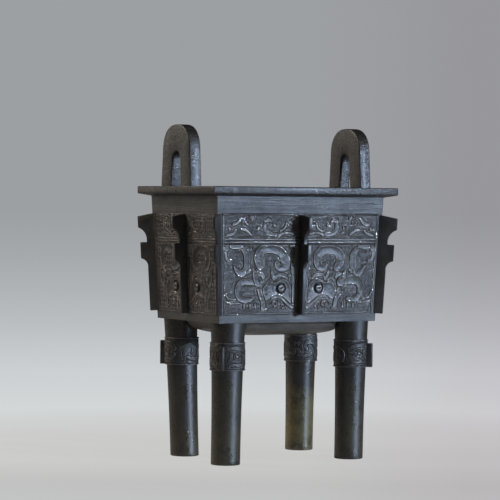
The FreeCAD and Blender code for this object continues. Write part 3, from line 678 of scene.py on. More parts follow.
# %% [markdown]
# The bottom sags in a shallow dome between the legs, which shows from the front as a
# dark curve under the body. Inside it is a smooth tray. It could be carved by booleans,
# but one grid, folded into a top and a bottom sheet by two height functions, is cleaner:
# the curve of each is a power of the distance to the edge, kept flat round each leg.

# %% Bottom
FLOOR_THICKNESS = 5.0
FLOOR_COLUMNS, FLOOR_ROWS = 84, 60
# half size, drop, and how square the plan is
DOME = ((58.0, 40.0), 11.0, 4.0)
SINK = ((49.0, 31.0), 11.0, 3.2)
LEG_SPACING_HALF = (53.5, 36.6)
LEG_CLEARANCE, LEG_FLARE = 13.0, 3.0


def tray_depth(x, y, half, drop, power):
    """Depth of a rounded tray: full in the middle, nothing outside its half size."""
    reach = (abs(x / half[0]) ** power + abs(y / half[1]) ** power) ** (1 / power)
    return drop * max(0.0, 1 - reach ** 4) ** 0.5


def leg_room(x, y):
    """One away from the legs, and nothing where a leg meets the bottom."""
    away = math.hypot(abs(x) - LEG_SPACING_HALF[0], abs(y) - LEG_SPACING_HALF[1])
    return min(1.0, max(0.0, (away - LEG_CLEARANCE) / LEG_FLARE)) ** 0.5


def make_floor():
    top = BODY_LOW + FLOOR_THICKNESS
    top_half = [half_extent(axis, top) - WALL for axis in (LONG, SHORT)]
    bm = bmesh.new()
    for tray, half, level in ((DOME, FOOT_HALF, BODY_LOW), (SINK, top_half, top)):
        made = bmesh.ops.create_grid(bm, x_segments=FLOOR_COLUMNS, y_segments=FLOOR_ROWS, size=1)
        for vert in made["verts"]:
            x, y = vert.co.x * half[0], vert.co.y * half[1]
            room = leg_room(x, y) if tray is DOME else 1.0
            vert.co = Vector((x, y, level - tray_depth(x, y, *tray) * room))
    rims = [edge for edge in bm.edges if edge.is_boundary]
    bmesh.ops.bridge_loops(bm, edges=rims)
    return finish_piece(bm, "vessel_floor", ROUGH)


floor_piece = make_floor()
print(floor_piece.name, len(floor_piece.data.polygons), "faces")

# %% [markdown]
# The rim is a flat frame round the mouth. Its underside rises towards the outer edge,
# so from the side it looks thinner than it is, with a dark line below. It is two
# blocks in one mesh, opened through the middle, with the outer edges rounded.

# %% Rim
RIM_ROUNDING, MOUTH_ROUNDING = 0.7, 0.5
RIM_OUTSIDE = BODY_TOP_HALF + Vector((1, 1, 0))


def in_mouth(place):
    """Whether a place lies on the rim's top, within the walls."""
    across, along, _ = BODY_TOP_HALF
    return place.z > RIM_HIGH - MERGE and abs(place.x) < across and abs(place.y) < along


def make_rim():
    bm = bmesh.new()
    frustum(bm, BODY_TOP_HALF, RIM_HALF, RIM_LOW, RIM_LOW + RIM_UNDERSIDE_RISE)
    pull(bm, [highest_face(bm)], (0, 0, RIM_HIGH - RIM_LOW - RIM_UNDERSIDE_RISE))
    bm.normal_update()
    open_through(bm, MOUTH_HALF, MOUTH_HALF)
    outer = [edge for edge in bm.edges if any(
        all(abs(vert.co[axis]) > RIM_OUTSIDE[axis] for vert in edge.verts) for axis in (0, 1))]
    soften(bm, outer, RIM_ROUNDING)
    soften(bm, edges_where(bm, in_mouth), MOUTH_ROUNDING)
    return finish_piece(bm, "rim", CAST)


rim = make_rim()
print(rim.name, len(rim.data.polygons), "faces")

# %% [markdown]
# Each ear is a thick plate in the shape of a stilted arch, with a slot of the same
# shape. Its round top is a half circle, which a spin draws from one point, and the
# ends are then drawn down to the rim. Bridging the outer arch to the slot's arch gives
# the face, the outer arch is drawn out a little fuller than a circle, and extruding the
# face gives the plate. Its tenons stay hidden in the rim.

# %% Ears
# half width at the base and at the shoulder, height of the shoulder
EAR_ARCH, SLOT_ARCH = (23.0, 21.2, 24.5), (7.5, 6.1, 19.8)
EAR_SHOULDER = EAR_ARCH[2]
EAR_OUTER_X = box_mm("ear_right")[1].x
EAR_THICKNESS = EAR_OUTER_X - box_mm("ear_right")[0].x
EAR_ROUNDING = 0.9
ARCH_FULLNESS = 2.4
ARCH_STEPS, STILT_STEPS = 28, 8


def arch(bm, base_half, shoulder_half, shoulder):
    """A line up one side, over a half circle and down the other; returns its edges."""
    before = set(bm.edges)
    start = bm.verts.new((0, shoulder_half, shoulder))
    bmesh.ops.spin(bm, geom=[start], cent=(0, 0, shoulder), axis=(1, 0, 0), angle=math.pi,
                   steps=ARCH_STEPS, use_duplicate=False)
    for end in (1, -1):
        last = min((vert for edge in bm.edges if edge not in before for vert in edge.verts),
                   key=lambda vert: (vert.co - Vector((0, shoulder_half * end, shoulder))).length)
        drop = Vector((0, (base_half - shoulder_half) * end, -shoulder)) / STILT_STEPS
        for _ in range(STILT_STEPS):
            following = bm.verts.new(last.co + drop)
            bm.edges.new((last, following))
            last = following
    return [edge for edge in bm.edges if edge not in before]


def make_ear(side, sign):
    bm = bmesh.new()
    outer = arch(bm, *EAR_ARCH)
    bmesh.ops.bridge_loops(bm, edges=outer + arch(bm, *SLOT_ARCH))
    for vert in {vert for edge in outer for vert in edge.verts}:
        rise = vert.co.z - EAR_SHOULDER
        if rise > MERGE:
            way = math.atan2(rise, abs(vert.co.y))
            reach = math.cos(way) ** ARCH_FULLNESS + math.sin(way) ** ARCH_FULLNESS
            fuller = reach ** (-1 / ARCH_FULLNESS)
            vert.co.y *= fuller
            vert.co.z = EAR_SHOULDER + rise * fuller
    pull(bm, bm.faces[:], (EAR_THICKNESS, 0, 0))
    bm.normal_update()
    bmesh.ops.recalc_face_normals(bm, faces=bm.faces[:])
    rims = [edge for edge in bm.edges
            if not edge.is_boundary and edge.calc_face_angle(0) > EDGE_ANGLE
            and max(vert.co.z for vert in edge.verts) > MERGE
            and abs(edge.verts[0].co.x - edge.verts[1].co.x) < MERGE]
    soften(bm, rims, EAR_ROUNDING)
    near = EAR_OUTER_X - EAR_THICKNESS if sign > 0 else -EAR_OUTER_X
    return finish_piece(bm, f"ear_{side}", CAST, Matrix.Translation((near, 0, RIM_HIGH)))


for side, sign in HALVES.items():
    ear = make_ear(side, sign)
    print(ear.name, len(ear.data.polygons), "faces")

# %% [markdown]
# Each leg is a slim round post, a little waisted, and none stands quite square: the
# casting left each foot a few millimetres off the middle of its seat. A cylinder cut
# into many rings follows the waist and the shift, and the top is opened for the clay
# core.

# %% Legs
LEG_TOP = BODY_LOW
LEG_RADII = ((0.0, 10.8), (45.0, 11.1), (LEG_TOP, 12.7))
LEG_WALL, LEG_SOLE, FOOT_ROUNDING = 3.4, 6.0, 0.7
LEG_SEGMENTS, LEG_RINGS = 72, 34
FOOT_SHIFTS = {"front_left": (-1.0, 0.4), "front_right": (-1.2, 0.4),
               "back_left": (3.0, -2.6), "back_right": (-0.8, 0.4)}


def leg_radius(level):
    """Radius at a level, on the parabola through the foot, the waist and the top."""
    total = 0.0
    for at, radius in LEG_RADII:
        others = [other for other, _ in LEG_RADII if other != at]
        total += radius * math.prod((level - other) / (at - other) for other in others)
    return total


def leg_middle(corner, level):
    share = (LEG_TOP - level) / LEG_TOP
    x, y = (half * sign + shift * share for half, sign, shift
            in zip(LEG_SPACING_HALF, CORNERS[corner], FOOT_SHIFTS[corner]))
    return Vector((x, y, level))


def make_leg(corner):
    bm = bmesh.new()
    bmesh.ops.create_cone(bm, cap_ends=True, segments=LEG_SEGMENTS, radius1=1, radius2=1,
                          depth=LEG_TOP)
    bmesh.ops.translate(bm, vec=(0, 0, LEG_TOP / 2), verts=bm.verts[:])
    for ring in range(1, LEG_RINGS):
        bmesh.ops.bisect_plane(bm, geom=bm.verts[:] + bm.edges[:] + bm.faces[:],
                               plane_co=(0, 0, LEG_TOP * ring / LEG_RINGS), plane_no=(0, 0, 1))
    top = highest_face(bm)
    bmesh.ops.inset_region(bm, faces=[top], thickness=LEG_WALL / leg_radius(LEG_TOP))
    _, sole = pull(bm, [top], (0, 0, LEG_SOLE - LEG_TOP))
    narrow = (leg_radius(LEG_SOLE) - LEG_WALL) / leg_radius(LEG_SOLE)
    for vert in sole:
        vert.co.xy = vert.co.xy.normalized() * narrow
    foot = edges_where(bm, lambda place: place.z < MERGE)
    for vert in bm.verts:
        radius = leg_radius(vert.co.z)
        middle = leg_middle(corner, vert.co.z)
        vert.co = Vector((vert.co.x * radius, vert.co.y * radius, 0)) + middle
    soften(bm, foot, FOOT_ROUNDING)
    return finish_piece(bm, f"leg_{corner}", LEG)


for corner in CORNERS:
    leg = make_leg(corner)
    print(leg.name, len(leg.data.polygons), "faces")

# %% [markdown]
# Hooked flanges hide the seams between the mould sections, at the corners and in the
# middle of each side. Seen from the side, each has a hook at the top, a round notch, a
# barb and a long straight stem. A traced curve would hold many points. A few named
# heights and reaches do, with the two round stretches drawn by a formula.

# %% Outline of a flange
FLANGE_ROOT = 3.0
FLANGE_TOP_INSET, FLANGE_TOP_DROP = 0.6, 2.1
HOOK_HEIGHT, NOTCH_HEIGHT, NOTCH_RADIUS = 8.6, 8.5, 10.0
STEP_HEIGHT, BARB_HEIGHT, HEEL_HEIGHT, HEEL_RADIUS = 2.8, 12.4, 7.6, 6.4
# reach of the hook, the barb and the stem from the wall
FLANGE_REACHES = {"corner": (12.0, 10.8, 5.5), LONG: (13.7, 13.0, 6.8), SHORT: (10.6, 9.6, 5.4)}


def bulge(start, end, radius, steps=9):
    """Points of an arc from start to end that bulges to the left of the way."""
    start, end = Vector(start), Vector(end)
    chord = end - start
    half = chord.length / 2
    sag = math.sqrt(max(radius * radius - half * half, 0.0))
    left = Vector((-chord.y, chord.x)).normalized()
    centre = (start + end) / 2 - left * sag
    first = math.atan2(start.y - centre.y, start.x - centre.x)
    turn = -2 * math.asin(min(1.0, half / radius))
    angles = [first + turn * step / steps for step in range(1, steps + 1)]
    return [centre + Vector((math.cos(angle), math.sin(angle))) * radius for angle in angles]


def flange_outline(kind):
    """Outline with X out of the wall and Y up it, anticlockwise from the foot."""
    hook, barb, low = FLANGE_REACHES[kind]
    hook_top = ZONE_HEIGHT - FLANGE_TOP_INSET - FLANGE_TOP_DROP
    root_top = hook_top + FLANGE_TOP_DROP * hook / (hook + FLANGE_ROOT)
    hook_bottom = hook_top - HOOK_HEIGHT
    notch_bottom = hook_bottom - NOTCH_HEIGHT
    step = notch_bottom - STEP_HEIGHT
    barb_bottom = step - BARB_HEIGHT
    heel_bottom = barb_bottom - HEEL_HEIGHT
    return [(0, 0), (low, 0), (low, heel_bottom),
            *bulge((low, heel_bottom), (barb, barb_bottom), HEEL_RADIUS),
            (barb, step), (low, step), (low, notch_bottom),
            *bulge((low, notch_bottom), (hook, hook_bottom), NOTCH_RADIUS),
            (hook, hook_top), (0, root_top)]


print(len(flange_outline(LONG)), "points in the outline of a flange")

# %% [markdown]
# The outline is extruded twice, so that a middle line stays in the root, and the edges
# are softened. The flange thins towards its outer edge. A corner flange straddles the
# corner, so its root is drawn in at both faces to meet the two walls.

# %% Flanges
FLANGE_THICKNESS, FLANGE_ROUNDING = 3.2, 0.5
# share of the thickness that is left at the outer edge
EDGE_SHARES = {"corner": 0.62, LONG: 0.9, SHORT: 0.8}


def flange_mesh(kind, root_drawn_in):
    bm = bmesh.new()
    faces = [bm.faces.new([bm.verts.new((out, -FLANGE_THICKNESS / 2, level))
                           for out, level in flange_outline(kind)])]
    for _ in range(2):
        faces, _ = pull(bm, faces, (0, FLANGE_THICKNESS / 2, 0))
    for vert in bm.verts:
        if root_drawn_in and vert.co.x < MERGE:
            vert.co.x = -abs(vert.co.y)
            if vert.co.z > ZONE_HEIGHT / 2:
                vert.co.z += abs(vert.co.y) * FLANGE_TOP_DROP / FLANGE_REACHES[kind][0]
        elif vert.co.x > MERGE:
            outward = vert.co.x / FLANGE_REACHES[kind][0]
            vert.co.y *= 1 - (1 - EDGE_SHARES[kind]) * min(1.0, 2 * outward)
    bmesh.ops.recalc_face_normals(bm, faces=bm.faces[:])
    bm.normal_update()
    edges = [edge for edge in bm.edges if edge.calc_face_angle(0) > EDGE_ANGLE
             and max(vert.co.x for vert in edge.verts) > 1]
    soften(bm, edges, FLANGE_ROUNDING, 2)
    return bm


def make_side_flange(side):
    upright = Matrix(((0, 1, 0), (0, 0, 1), (1, 0, 0))).to_4x4()
    bm = flange_mesh(SIDES[side][0], False)
    return finish_piece(bm, f"side_flange_{side}", FLANGE, side_frame(side) @ upright)


def make_corner_flange(corner):
    x_sign, y_sign = CORNERS[corner]
    foot = Vector((half_extent(LONG, ZONE_LOW) * x_sign, half_extent(SHORT, ZONE_LOW) * y_sign,
                   ZONE_LOW))
    lean = math.atan2((BODY_TOP_HALF.xy - BODY_BOTTOM_HALF).length, BODY_HEIGHT)
    place = corner_frame(corner, foot) @ Matrix.Rotation(lean, 4, "Y")
    return finish_piece(flange_mesh("corner", True), f"corner_flange_{corner}", FLANGE, place)


for side in SIDES:
    make_side_flange(side)
for corner in CORNERS:
    piece = make_corner_flange(corner)
print("8 flanges,", len(piece.data.polygons), "faces in a corner flange")

# %% [markdown]
# The ornament. On the real vessel it was carved into the clay mould, so it is low relief
# with crisp outlines: broad forms, a little hollowed, over a ground of tiny squared
# spirals. Sculpting that by hand would take weeks. Here each form is written as a stroke,
# a smooth line through a few places with a radius at each, and numpy works out for every
# point of a fine grid how deep inside a stroke it lies. That depth becomes height.

# %% Strokes as distances
FAR_OUTSIDE = 9.0
TINY = 1e-9
# size of the tables of random values, and where in them a piece begins
TABLE_SIZE = 64
TABLE_START = (31.7, 17.3)


def smooth_step(value, low, high):
    share = np.clip((value - low) / (high - low), 0.0, 1.0)
    return share * share * (3 - 2 * share)


def smooth_line(places, closed=False, steps=5):
    """A rounder line through places (x, y, radius), by the Catmull-Rom formula."""
    places = [np.array(place, float) for place in places]
    if len(places) == 1:
        return np.array([places[0], places[0] + (MERGE, 0, 0)])
    if closed:
        padded = [places[-1]] + places + places[:2]
    else:
        padded = [2 * places[0] - places[1]] + places + [2 * places[-1] - places[-2]]
    line = []
    for first, second, third, fourth in zip(padded, padded[1:], padded[2:], padded[3:]):
        for step in range(steps):
            t = step / steps
            line.append(0.5 * (2 * second + (third - first) * t
                               + (2 * first - 5 * second + 4 * third - fourth) * t ** 2
                               + (3 * second - first - 3 * third + fourth) * t ** 3))
    if not closed:
        line.append(padded[-2])
    return np.array(line)


def from_stretch(x, y, start, end):
    """How far points lie from a straight stretch, and the share of it they are level with."""
    along = (end - start)[:2]
    share = (x - start[0]) * along[0] + (y - start[1]) * along[1]
    share = np.clip(share / (along @ along + TINY), 0, 1)
    return np.hypot(x - start[0] - share * along[0], y - start[1] - share * along[1]), share


def stroke_depth(x, y, places):
    """Depth inside a stroke in millimetres, below zero outside it, and its radius there."""
    line = smooth_line(places)
    depth, radius = np.full(x.shape, -FAR_OUTSIDE), np.ones(x.shape)
    reach = line[:, 2].max() + 2.0
    low, high = line[:, :2].min(0) - reach, line[:, :2].max(0) + reach
    near = (x > low[0]) & (x < high[0]) & (y > low[1]) & (y < high[1])
    best, best_radius = depth[near], radius[near]
    for start, end in zip(line[:-1], line[1:]):
        away, share = from_stretch(x[near], y[near], start, end)
        here = start[2] + (end[2] - start[2]) * share
        better = here - away > best
        best = np.where(better, here - away, best)
        best_radius = np.where(better, here, best_radius)
    depth[near], radius[near] = best, best_radius
    return depth, radius


def shape_depth(x, y, outline, radius):
    """Depth inside a closed shape, such as the broad plate of the face."""
    corners = smooth_line([(px, py, radius) for px, py in outline], closed=True)[:, :2]
    away = np.full(x.shape, np.inf)
    inside = np.zeros(x.shape, bool)
    for start, end in zip(corners, np.roll(corners, -1, axis=0)):
        away = np.minimum(away, from_stretch(x, y, start, end)[0])
        crosses = (start[1] > y) != (end[1] > y)
        slope = (end[0] - start[0]) / (end[1] - start[1] + TINY)
        inside ^= crosses & (x < start[0] + (y - start[1]) * slope)
    return np.where(inside, away, -away), np.full(x.shape, radius)


def soft_noise(x, y, size, seed):
    """Smooth random values between -1 and 1, with bumps of a given size."""
    random = np.random.default_rng(seed)
    table = random.uniform(-1, 1, (TABLE_SIZE, TABLE_SIZE))
    across, along = x / size + TABLE_START[0], y / size + TABLE_START[1]
    column, row = np.floor(across).astype(int), np.floor(along).astype(int)
    u, v = smooth_step(across - column, 0, 1), smooth_step(along - row, 0, 1)
    corner = [[table[(row + i) % TABLE_SIZE, (column + j) % TABLE_SIZE] for j in (0, 1)]
              for i in (0, 1)]
    low = corner[0][0] * (1 - u) + corner[0][1] * u
    high = corner[1][0] * (1 - u) + corner[1][1] * u
    return low * (1 - v) + high * v


print("stroke helpers ready")

# %% [markdown]
# The mask is a face split by the flange: this is its half on the right. Its parts have
# the names that potters and casters use for a beast's face: a great horn that curls
# back, a leaf-shaped ear, a brow, a broad face plate round the eye, a jaw and a fanged
# lip. The long sides have room for a small dragon beside it. Places are millimetres
# from the middle of the side and from the foot of the field, each with its radius.

# %% Forms of the mask and the side dragon
FACE_PLATE = [(30.0, 21.6), (27.3, 25.6), (24.6, 24.5), (21.6, 23.9), (17.9, 25.6),
              (13.2, 26.8), (9.2, 23.9), (7.1, 18.7), (5.5, 12.9), (4.4, 7.0), (7.1, 7.6),
              (11.2, 11.1), (16.6, 14.0), (21.9, 14.0), (25.3, 12.3), (28.7, 11.1),
              (30.7, 14.6), (32.0, 18.1)]
EYE_PLACE = (16.3, 19.6)
EYE_RADIUS, EYE_RING = 3.4, 4.6

HORNS = {
    "left": [(34.3, 36.6, 3.5), (35.7, 40.9, 3.9), (35.2, 45.4, 3.9), (31.5, 48.4, 3.5),
             (26.0, 48.8, 3.2), (20.5, 47.9, 3.3), (15.9, 45.1, 3.6), (13.5, 40.8, 3.9),
             (13.2, 36.9, 3.7), (15.5, 34.6, 2.9), (18.7, 35.2, 2.6), (20.3, 37.4, 2.4)],
    "right": [(32.5, 35.2, 3.3), (34.7, 39.3, 3.7), (34.4, 43.9, 3.7), (30.9, 47.1, 3.4),
              (25.6, 48.1, 3.3), (19.6, 47.6, 3.4), (15.5, 44.5, 3.6), (14.6, 40.0, 3.5),
              (16.0, 36.2, 3.1), (19.4, 34.6, 2.4), (21.4, 36.6, 2.1)],
}
MASK_FORMS = [
    # nose beside the flange, and the crest above it
    [(7.0, 40.8, 2.0), (6.2, 35.0, 2.1), (5.7, 28.7, 1.9), (5.5, 21.2, 1.6), (5.3, 14.4, 1.3),
     (6.0, 9.1, 0.8)],
    [(7.5, 51.4, 2.3), (5.8, 47.2, 1.8), (6.0, 44.0, 1.3)],
    # jaw with its foot
    [(34.3, 17.7, 2.0), (33.1, 14.1, 2.0), (31.6, 10.4, 1.9), (31.2, 7.0, 1.8),
     (31.6, 4.9, 1.3), (28.5, 4.7, 0.8)],
    # lip, and the two curls of the fangs
    [(24.2, 12.4, 0.7), (21.8, 13.3, 0.8), (18.8, 13.5, 0.9), (15.7, 12.3, 1.0),
     (12.8, 10.1, 1.0), (10.0, 7.8, 1.1), (6.5, 5.6, 1.5)],
    [(23.5, 8.9, 0.7), (21.9, 9.9, 0.7), (19.9, 9.2, 0.7), (19.6, 7.3, 0.7), (21.3, 6.2, 0.7)],
    [(15.8, 7.2, 0.6), (14.3, 7.7, 0.6), (13.4, 6.1, 0.6), (14.8, 5.0, 0.6)],
    # leaf ear with its lobe
    [(39.0, 31.2, 1.5), (37.6, 27.6, 2.8), (35.6, 23.8, 3.3)],
    [(35.6, 30.2, 1.2), (32.6, 29.6, 1.5), (31.6, 27.4, 1.2)],
    # brow
    [(24.7, 32.0, 0.9), (23.5, 28.8, 1.2), (21.9, 26.4, 1.1), (20.2, 28.8, 1.1),
     (16.5, 29.5, 1.3), (12.8, 28.7, 1.4), (11.1, 27.0, 1.1)],
]

SIDE_DRAGON_FORMS = [
    [(63.1, 16.6, 0.6), (61.3, 13.1, 0.7), (58.0, 11.9, 0.7), (53.2, 12.0, 0.6)],
    [(62.7, 10.6, 0.6), (59.7, 9.2, 0.7), (55.8, 8.6, 0.7), (51.0, 8.8, 0.6)],
    [(47.1, 7.8, 0.9), (47.0, 5.2, 0.8)],
    [(42.3, 7.7, 0.9), (42.2, 5.2, 0.8)],
    [(37.9, 7.9, 0.9), (37.7, 5.4, 0.8)],
    # haunch, a C round a patch of spirals
    [(39.6, 23.8, 1.9), (44.3, 24.4, 2.2), (49.2, 24.3, 2.4), (52.5, 20.9, 2.4),
     (52.8, 16.4, 2.4), (50.9, 12.5, 2.2), (46.9, 10.9, 1.9), (42.1, 11.2, 1.5)],
    # neck, down and back up to a point
    [(49.3, 48.5, 2.0), (46.3, 45.1, 2.6), (45.4, 40.4, 2.8), (45.7, 35.7, 2.7),
     (47.7, 31.8, 2.5), (51.4, 30.5, 2.3), (54.3, 32.6, 1.5), (56.4, 35.8, 0.7)],
    [(44.6, 31.6, 1.3), (42.6, 33.2, 0.9)],
    # head, trunk and snout
    [(59.2, 50.4, 1.5), (55.4, 50.4, 1.9), (51.2, 50.6, 1.6)],
    [(64.0, 46.2, 1.1), (63.7, 43.1, 1.2), (62.1, 40.7, 1.3), (59.7, 40.0, 1.3)],
    [(63.0, 48.6, 2.0)],
]
SIDE_DRAGON_EYE = (54.4, 46.6, 1.5, 2.7)
print(len(MASK_FORMS) + 1, "forms in the mask,", len(SIDE_DRAGON_FORMS), "in the side dragon")

# %% [markdown]
# The frieze above the mask has two small dragons on each half, one by the flange and one
# by the corner, with bodies that curl into hooks. Under them run two thin ridges and a
# flat fillet, which part the frieze from the mask.

# %% Forms of the frieze
INNER_DRAGON_FORMS = [
    [(30.7, 10.5, 1.8), (30.4, 6.4, 1.8), (26.7, 3.5, 1.6), (21.9, 3.0, 1.4)],
    [(19.2, 2.4, 1.2), (15.9, 3.8, 0.8), (11.2, 4.1, 0.8), (7.1, 3.0, 0.8)],
    [(7.1, 14.6, 1.2), (9.0, 12.6, 0.8)],
    [(10.2, 11.1, 2.2)],
    [(23.3, 9.9, 1.4)],
    [(30.7, 12.5, 1.4), (28.0, 13.8, 1.2), (26.2, 12.2, 0.9)],
    [(17.9, 5.3, 0.7), (14.2, 7.6, 0.8), (12.8, 11.4, 0.8)],
]
OUTER_DRAGON_FORMS = [
    [(57.6, 10.5, 1.4), (54.2, 11.7, 1.2), (51.6, 14.6, 1.0)],
    [(46.2, 11.7, 2.2)],
    [(42.1, 15.1, 1.2), (44.0, 15.6, 1.0)],
    [(63.0, 2.4, 1.0), (58.3, 3.2, 1.1), (55.4, 6.0, 1.0)],
    [(50.9, 6.4, 0.9), (47.5, 5.9, 1.0), (42.8, 2.4, 0.9)],
    [(36.7, 7.6, 1.2)],
    [(60.8, 7.0, 1.2)],
]
# place and radius of each dragon's eye, and its forms
FRIEZE_DRAGONS = (((10.2, 11.1, 1.3), INNER_DRAGON_FORMS),
                  ((46.2, 11.7, 1.3), OUTER_DRAGON_FORMS))
FRIEZE_FORMS_UP = 3.3
# level and half width of the ridges below the dragons
FRIEZE_RIDGES = ((0.5, 0.45), (2.5, 0.6), (4.1, 0.3))
print(len(INNER_DRAGON_FORMS) + len(OUTER_DRAGON_FORMS), "forms in a half of the frieze")

# %% [markdown]
# Height is painted in layers, as a carver works: first the spiral ground, then each
# form over what lies below it. A form brings its own outline groove, a crisp raised lip
# and a hollowed middle. The hollow makes the low edge of every form catch the light.

# %% Paint forms into a height
GROUND_LOW, SPIRAL_HEIGHT, SPIRAL_CRISPNESS = 0.02, 0.20, 1.8
SPIRAL_CELL, SPIRAL_TURNS = 3.2, 1.6
FORM_HEIGHT, GROOVE, GROOVE_WIDTH = 0.58, -0.55, 0.42
# where a form's side begins and ends, by depth inside the form
SIDE_START, SIDE_END = -0.15, 0.22
HOLLOW, HOLLOW_REACH = 0.42, 0.9
NARROW, WIDE, LEAST_RADIUS = 0.8, 3.2, 1.2
# how softly a groove ends, and the inner and outer edge of a ring
BLUR, INNER_BLUR, OUTER_BLUR = 0.1, 0.4, 0.3
SOCKET_LEVEL, SLIGHT_SOCKET = -0.8, -0.3
RIDGE_HEIGHT, RIDGE_GROOVE, RIDGE_MARGIN, RIDGE_RADIUS = 0.4, -0.3, 0.3, 0.6


def spiral_ground(x, y, seed):
    """Squared spirals, one in each cell, each turned and handed at random."""
    random = np.random.default_rng(seed)
    turns = random.integers(0, 4, (TABLE_SIZE, TABLE_SIZE)) / 4
    hands = random.choice((-1.0, 1.0), (TABLE_SIZE, TABLE_SIZE))
    column, row = (np.floor(place / SPIRAL_CELL).astype(int) for place in (x, y))
    u, v = (x / SPIRAL_CELL - column) * 2 - 1, (y / SPIRAL_CELL - row) * 2 - 1
    ring = np.maximum(np.abs(u), np.abs(v)) * SPIRAL_TURNS
    cell = (row % TABLE_SIZE, column % TABLE_SIZE)
    phase = ring + hands[cell] * np.arctan2(v, u) / math.tau + turns[cell]
    wave = np.clip(np.cos(math.tau * phase) * SPIRAL_CRISPNESS, -1, 1)
    return GROUND_LOW + SPIRAL_HEIGHT * (0.5 + 0.5 * wave)


def lay(height, form, cover):
    return height * (1 - cover) + form * cover


def paint(height, depth, radius, top=FORM_HEIGHT, groove=GROOVE, margin=GROOVE_WIDTH):
    """Lay one form over a height: groove outside, lip at the edge, hollow middle."""
    rise = smooth_step(depth, SIDE_START, SIDE_END)
    inner = smooth_step(depth / np.maximum(radius, LEAST_RADIUS), 0.0, HOLLOW_REACH)
    hollow = HOLLOW * np.clip((radius - NARROW) / (WIDE - NARROW), 0.0, 1.0) * inner
    form = groove + (top - groove) * rise - hollow
    return lay(height, form, smooth_step(depth, -margin - BLUR, -margin + BLUR))


def paint_ring(height, x, y, middle, inner, outer, level=SOCKET_LEVEL):
    """A sunk ring, such as the socket round an eye."""
    away = np.hypot(x - middle[0], y - middle[1])
    cover = smooth_step(away, inner - INNER_BLUR, inner)
    cover = cover * (1 - smooth_step(away, outer - OUTER_BLUR, outer))
    return lay(height, level, cover)


def paint_ridge(height, away, half_width, top=RIDGE_HEIGHT):
    """A straight ridge with a groove on both sides, by distance from its middle."""
    radius = np.full(away.shape, RIDGE_RADIUS)
    return paint(height, half_width - np.abs(away), radius, top, RIDGE_GROOVE, RIDGE_MARGIN)


print("relief up to", FORM_HEIGHT, "mm above the wall")

# %% [markdown]
# Each kind of panel paints its forms in the carver's order: the broad forms first, then
# the small ones that lie over them, then the sockets of the eyes and the ridges along
# the borders. Wear is read off the result: an edge that stands above what is round it
# is rubbed, and a groove is darkened with painted shade.

# %% Heights, wear and painted shade of the ornament
FACE_PLATE_RADIUS = 3.6
FRIEZE_TOP, FRIEZE_RIDGE_TOP = 0.55, 0.28
# the ridges along a panel's border: distance from it, half width, height
BORDER_RIDGE, BORDER_HALF = 0.9, 0.35
MASK_FOOT_RIDGE, MASK_TOP_RIDGE = (0.4, 0.2), (0.3, 0.1)
PUPIL = 1.2
RUB_REACH, RUB_DEPTH = 2, 0.3


def mask_height_map(x, y, side, half, seed):
    height = spiral_ground(x, y, seed)
    height = paint(height, *shape_depth(x, y, FACE_PLATE, FACE_PLATE_RADIUS))
    has_dragon = SIDES[side][0] == LONG
    forms = MASK_FORMS + [HORNS[half]]
    for form in SIDE_DRAGON_FORMS + forms if has_dragon else forms:
        height = paint(height, *stroke_depth(x, y, form))
    height = paint_ring(height, x, y, EYE_PLACE, 0.0, EYE_RING)
    if has_dragon:
        eye_x, eye_y, eye_height, eye_width = SIDE_DRAGON_EYE
        flat_y = eye_y + (y - eye_y) * eye_width / eye_height
        height = paint_ring(height, x, flat_y, (eye_x, eye_y), PUPIL, eye_width, SLIGHT_SOCKET)
    height = paint_ridge(height, y - BORDER_RIDGE, *MASK_FOOT_RIDGE)
    return paint_ridge(height, MASK_HEIGHT - BORDER_RIDGE - y, *MASK_TOP_RIDGE)


def frieze_height_map(x, y, side, seed):
    height = spiral_ground(x, y, seed)
    up = y - FRIEZE_FORMS_UP
    for (eye_x, eye_y, ring), forms in FRIEZE_DRAGONS[:2 if SIDES[side][0] == LONG else 1]:
        for form in forms:
            height = paint(height, *stroke_depth(x, up, form), top=FRIEZE_TOP)
        height = paint_ring(height, x, up, (eye_x, eye_y), ring * 0.5, ring, SLIGHT_SOCKET)
    for level, half_width in FRIEZE_RIDGES:
        height = paint_ridge(height, y - level, half_width, FRIEZE_RIDGE_TOP)
    return paint_ridge(height, ZONE_HEIGHT - MASK_HEIGHT - BORDER_RIDGE - y, BORDER_HALF)


# the share also sets the painted shade in the grooves, through the relief finish
def wear_and_shade_share(height, row_length):
    """0 in the grooves, a half on the level metal, 1 where an edge stands proud."""
    level = smooth_step(height, GROOVE, 0.0) * 0.5
    field = np.pad(height.reshape(-1, row_length), RUB_REACH, mode="edge")
    steps = (-RUB_REACH, 0, RUB_REACH)
    around = np.mean([np.roll(field, (up, across), (0, 1)) for up in steps for across in steps], 0)
    proud = (field - around)[RUB_REACH:-RUB_REACH, RUB_REACH:-RUB_REACH].ravel()
    return np.clip(level + 0.5 * np.clip(proud / RUB_DEPTH, 0, 1), 0, 1)


print("wear is read over", RUB_REACH, "points each way")

# %% [markdown]
# A panel is a flat grid of about a quarter of a millimetre, stretched to the field's
# tapered outline. Each point takes its height from the painted forms, with a slight
# warp so that no two panels are quite alike. The border is drawn back to the bottom of
# the seat and closed behind, so the panel is a real plate of metal.

# %% Panels
GRID_STEP = 0.27
WARP, WARP_SIZE, WARP_BORDER = 0.28, 7.0, 3.0
RELIEF_LIMIT = 1.45
# height and size of the unevenness that the hand and the casting left
FINE_UNEVENNESS, BROAD_UNEVENNESS = (0.065, 0.9), (0.08, 6.0)
PANEL_SEED, SEED_STEP = 100, 10


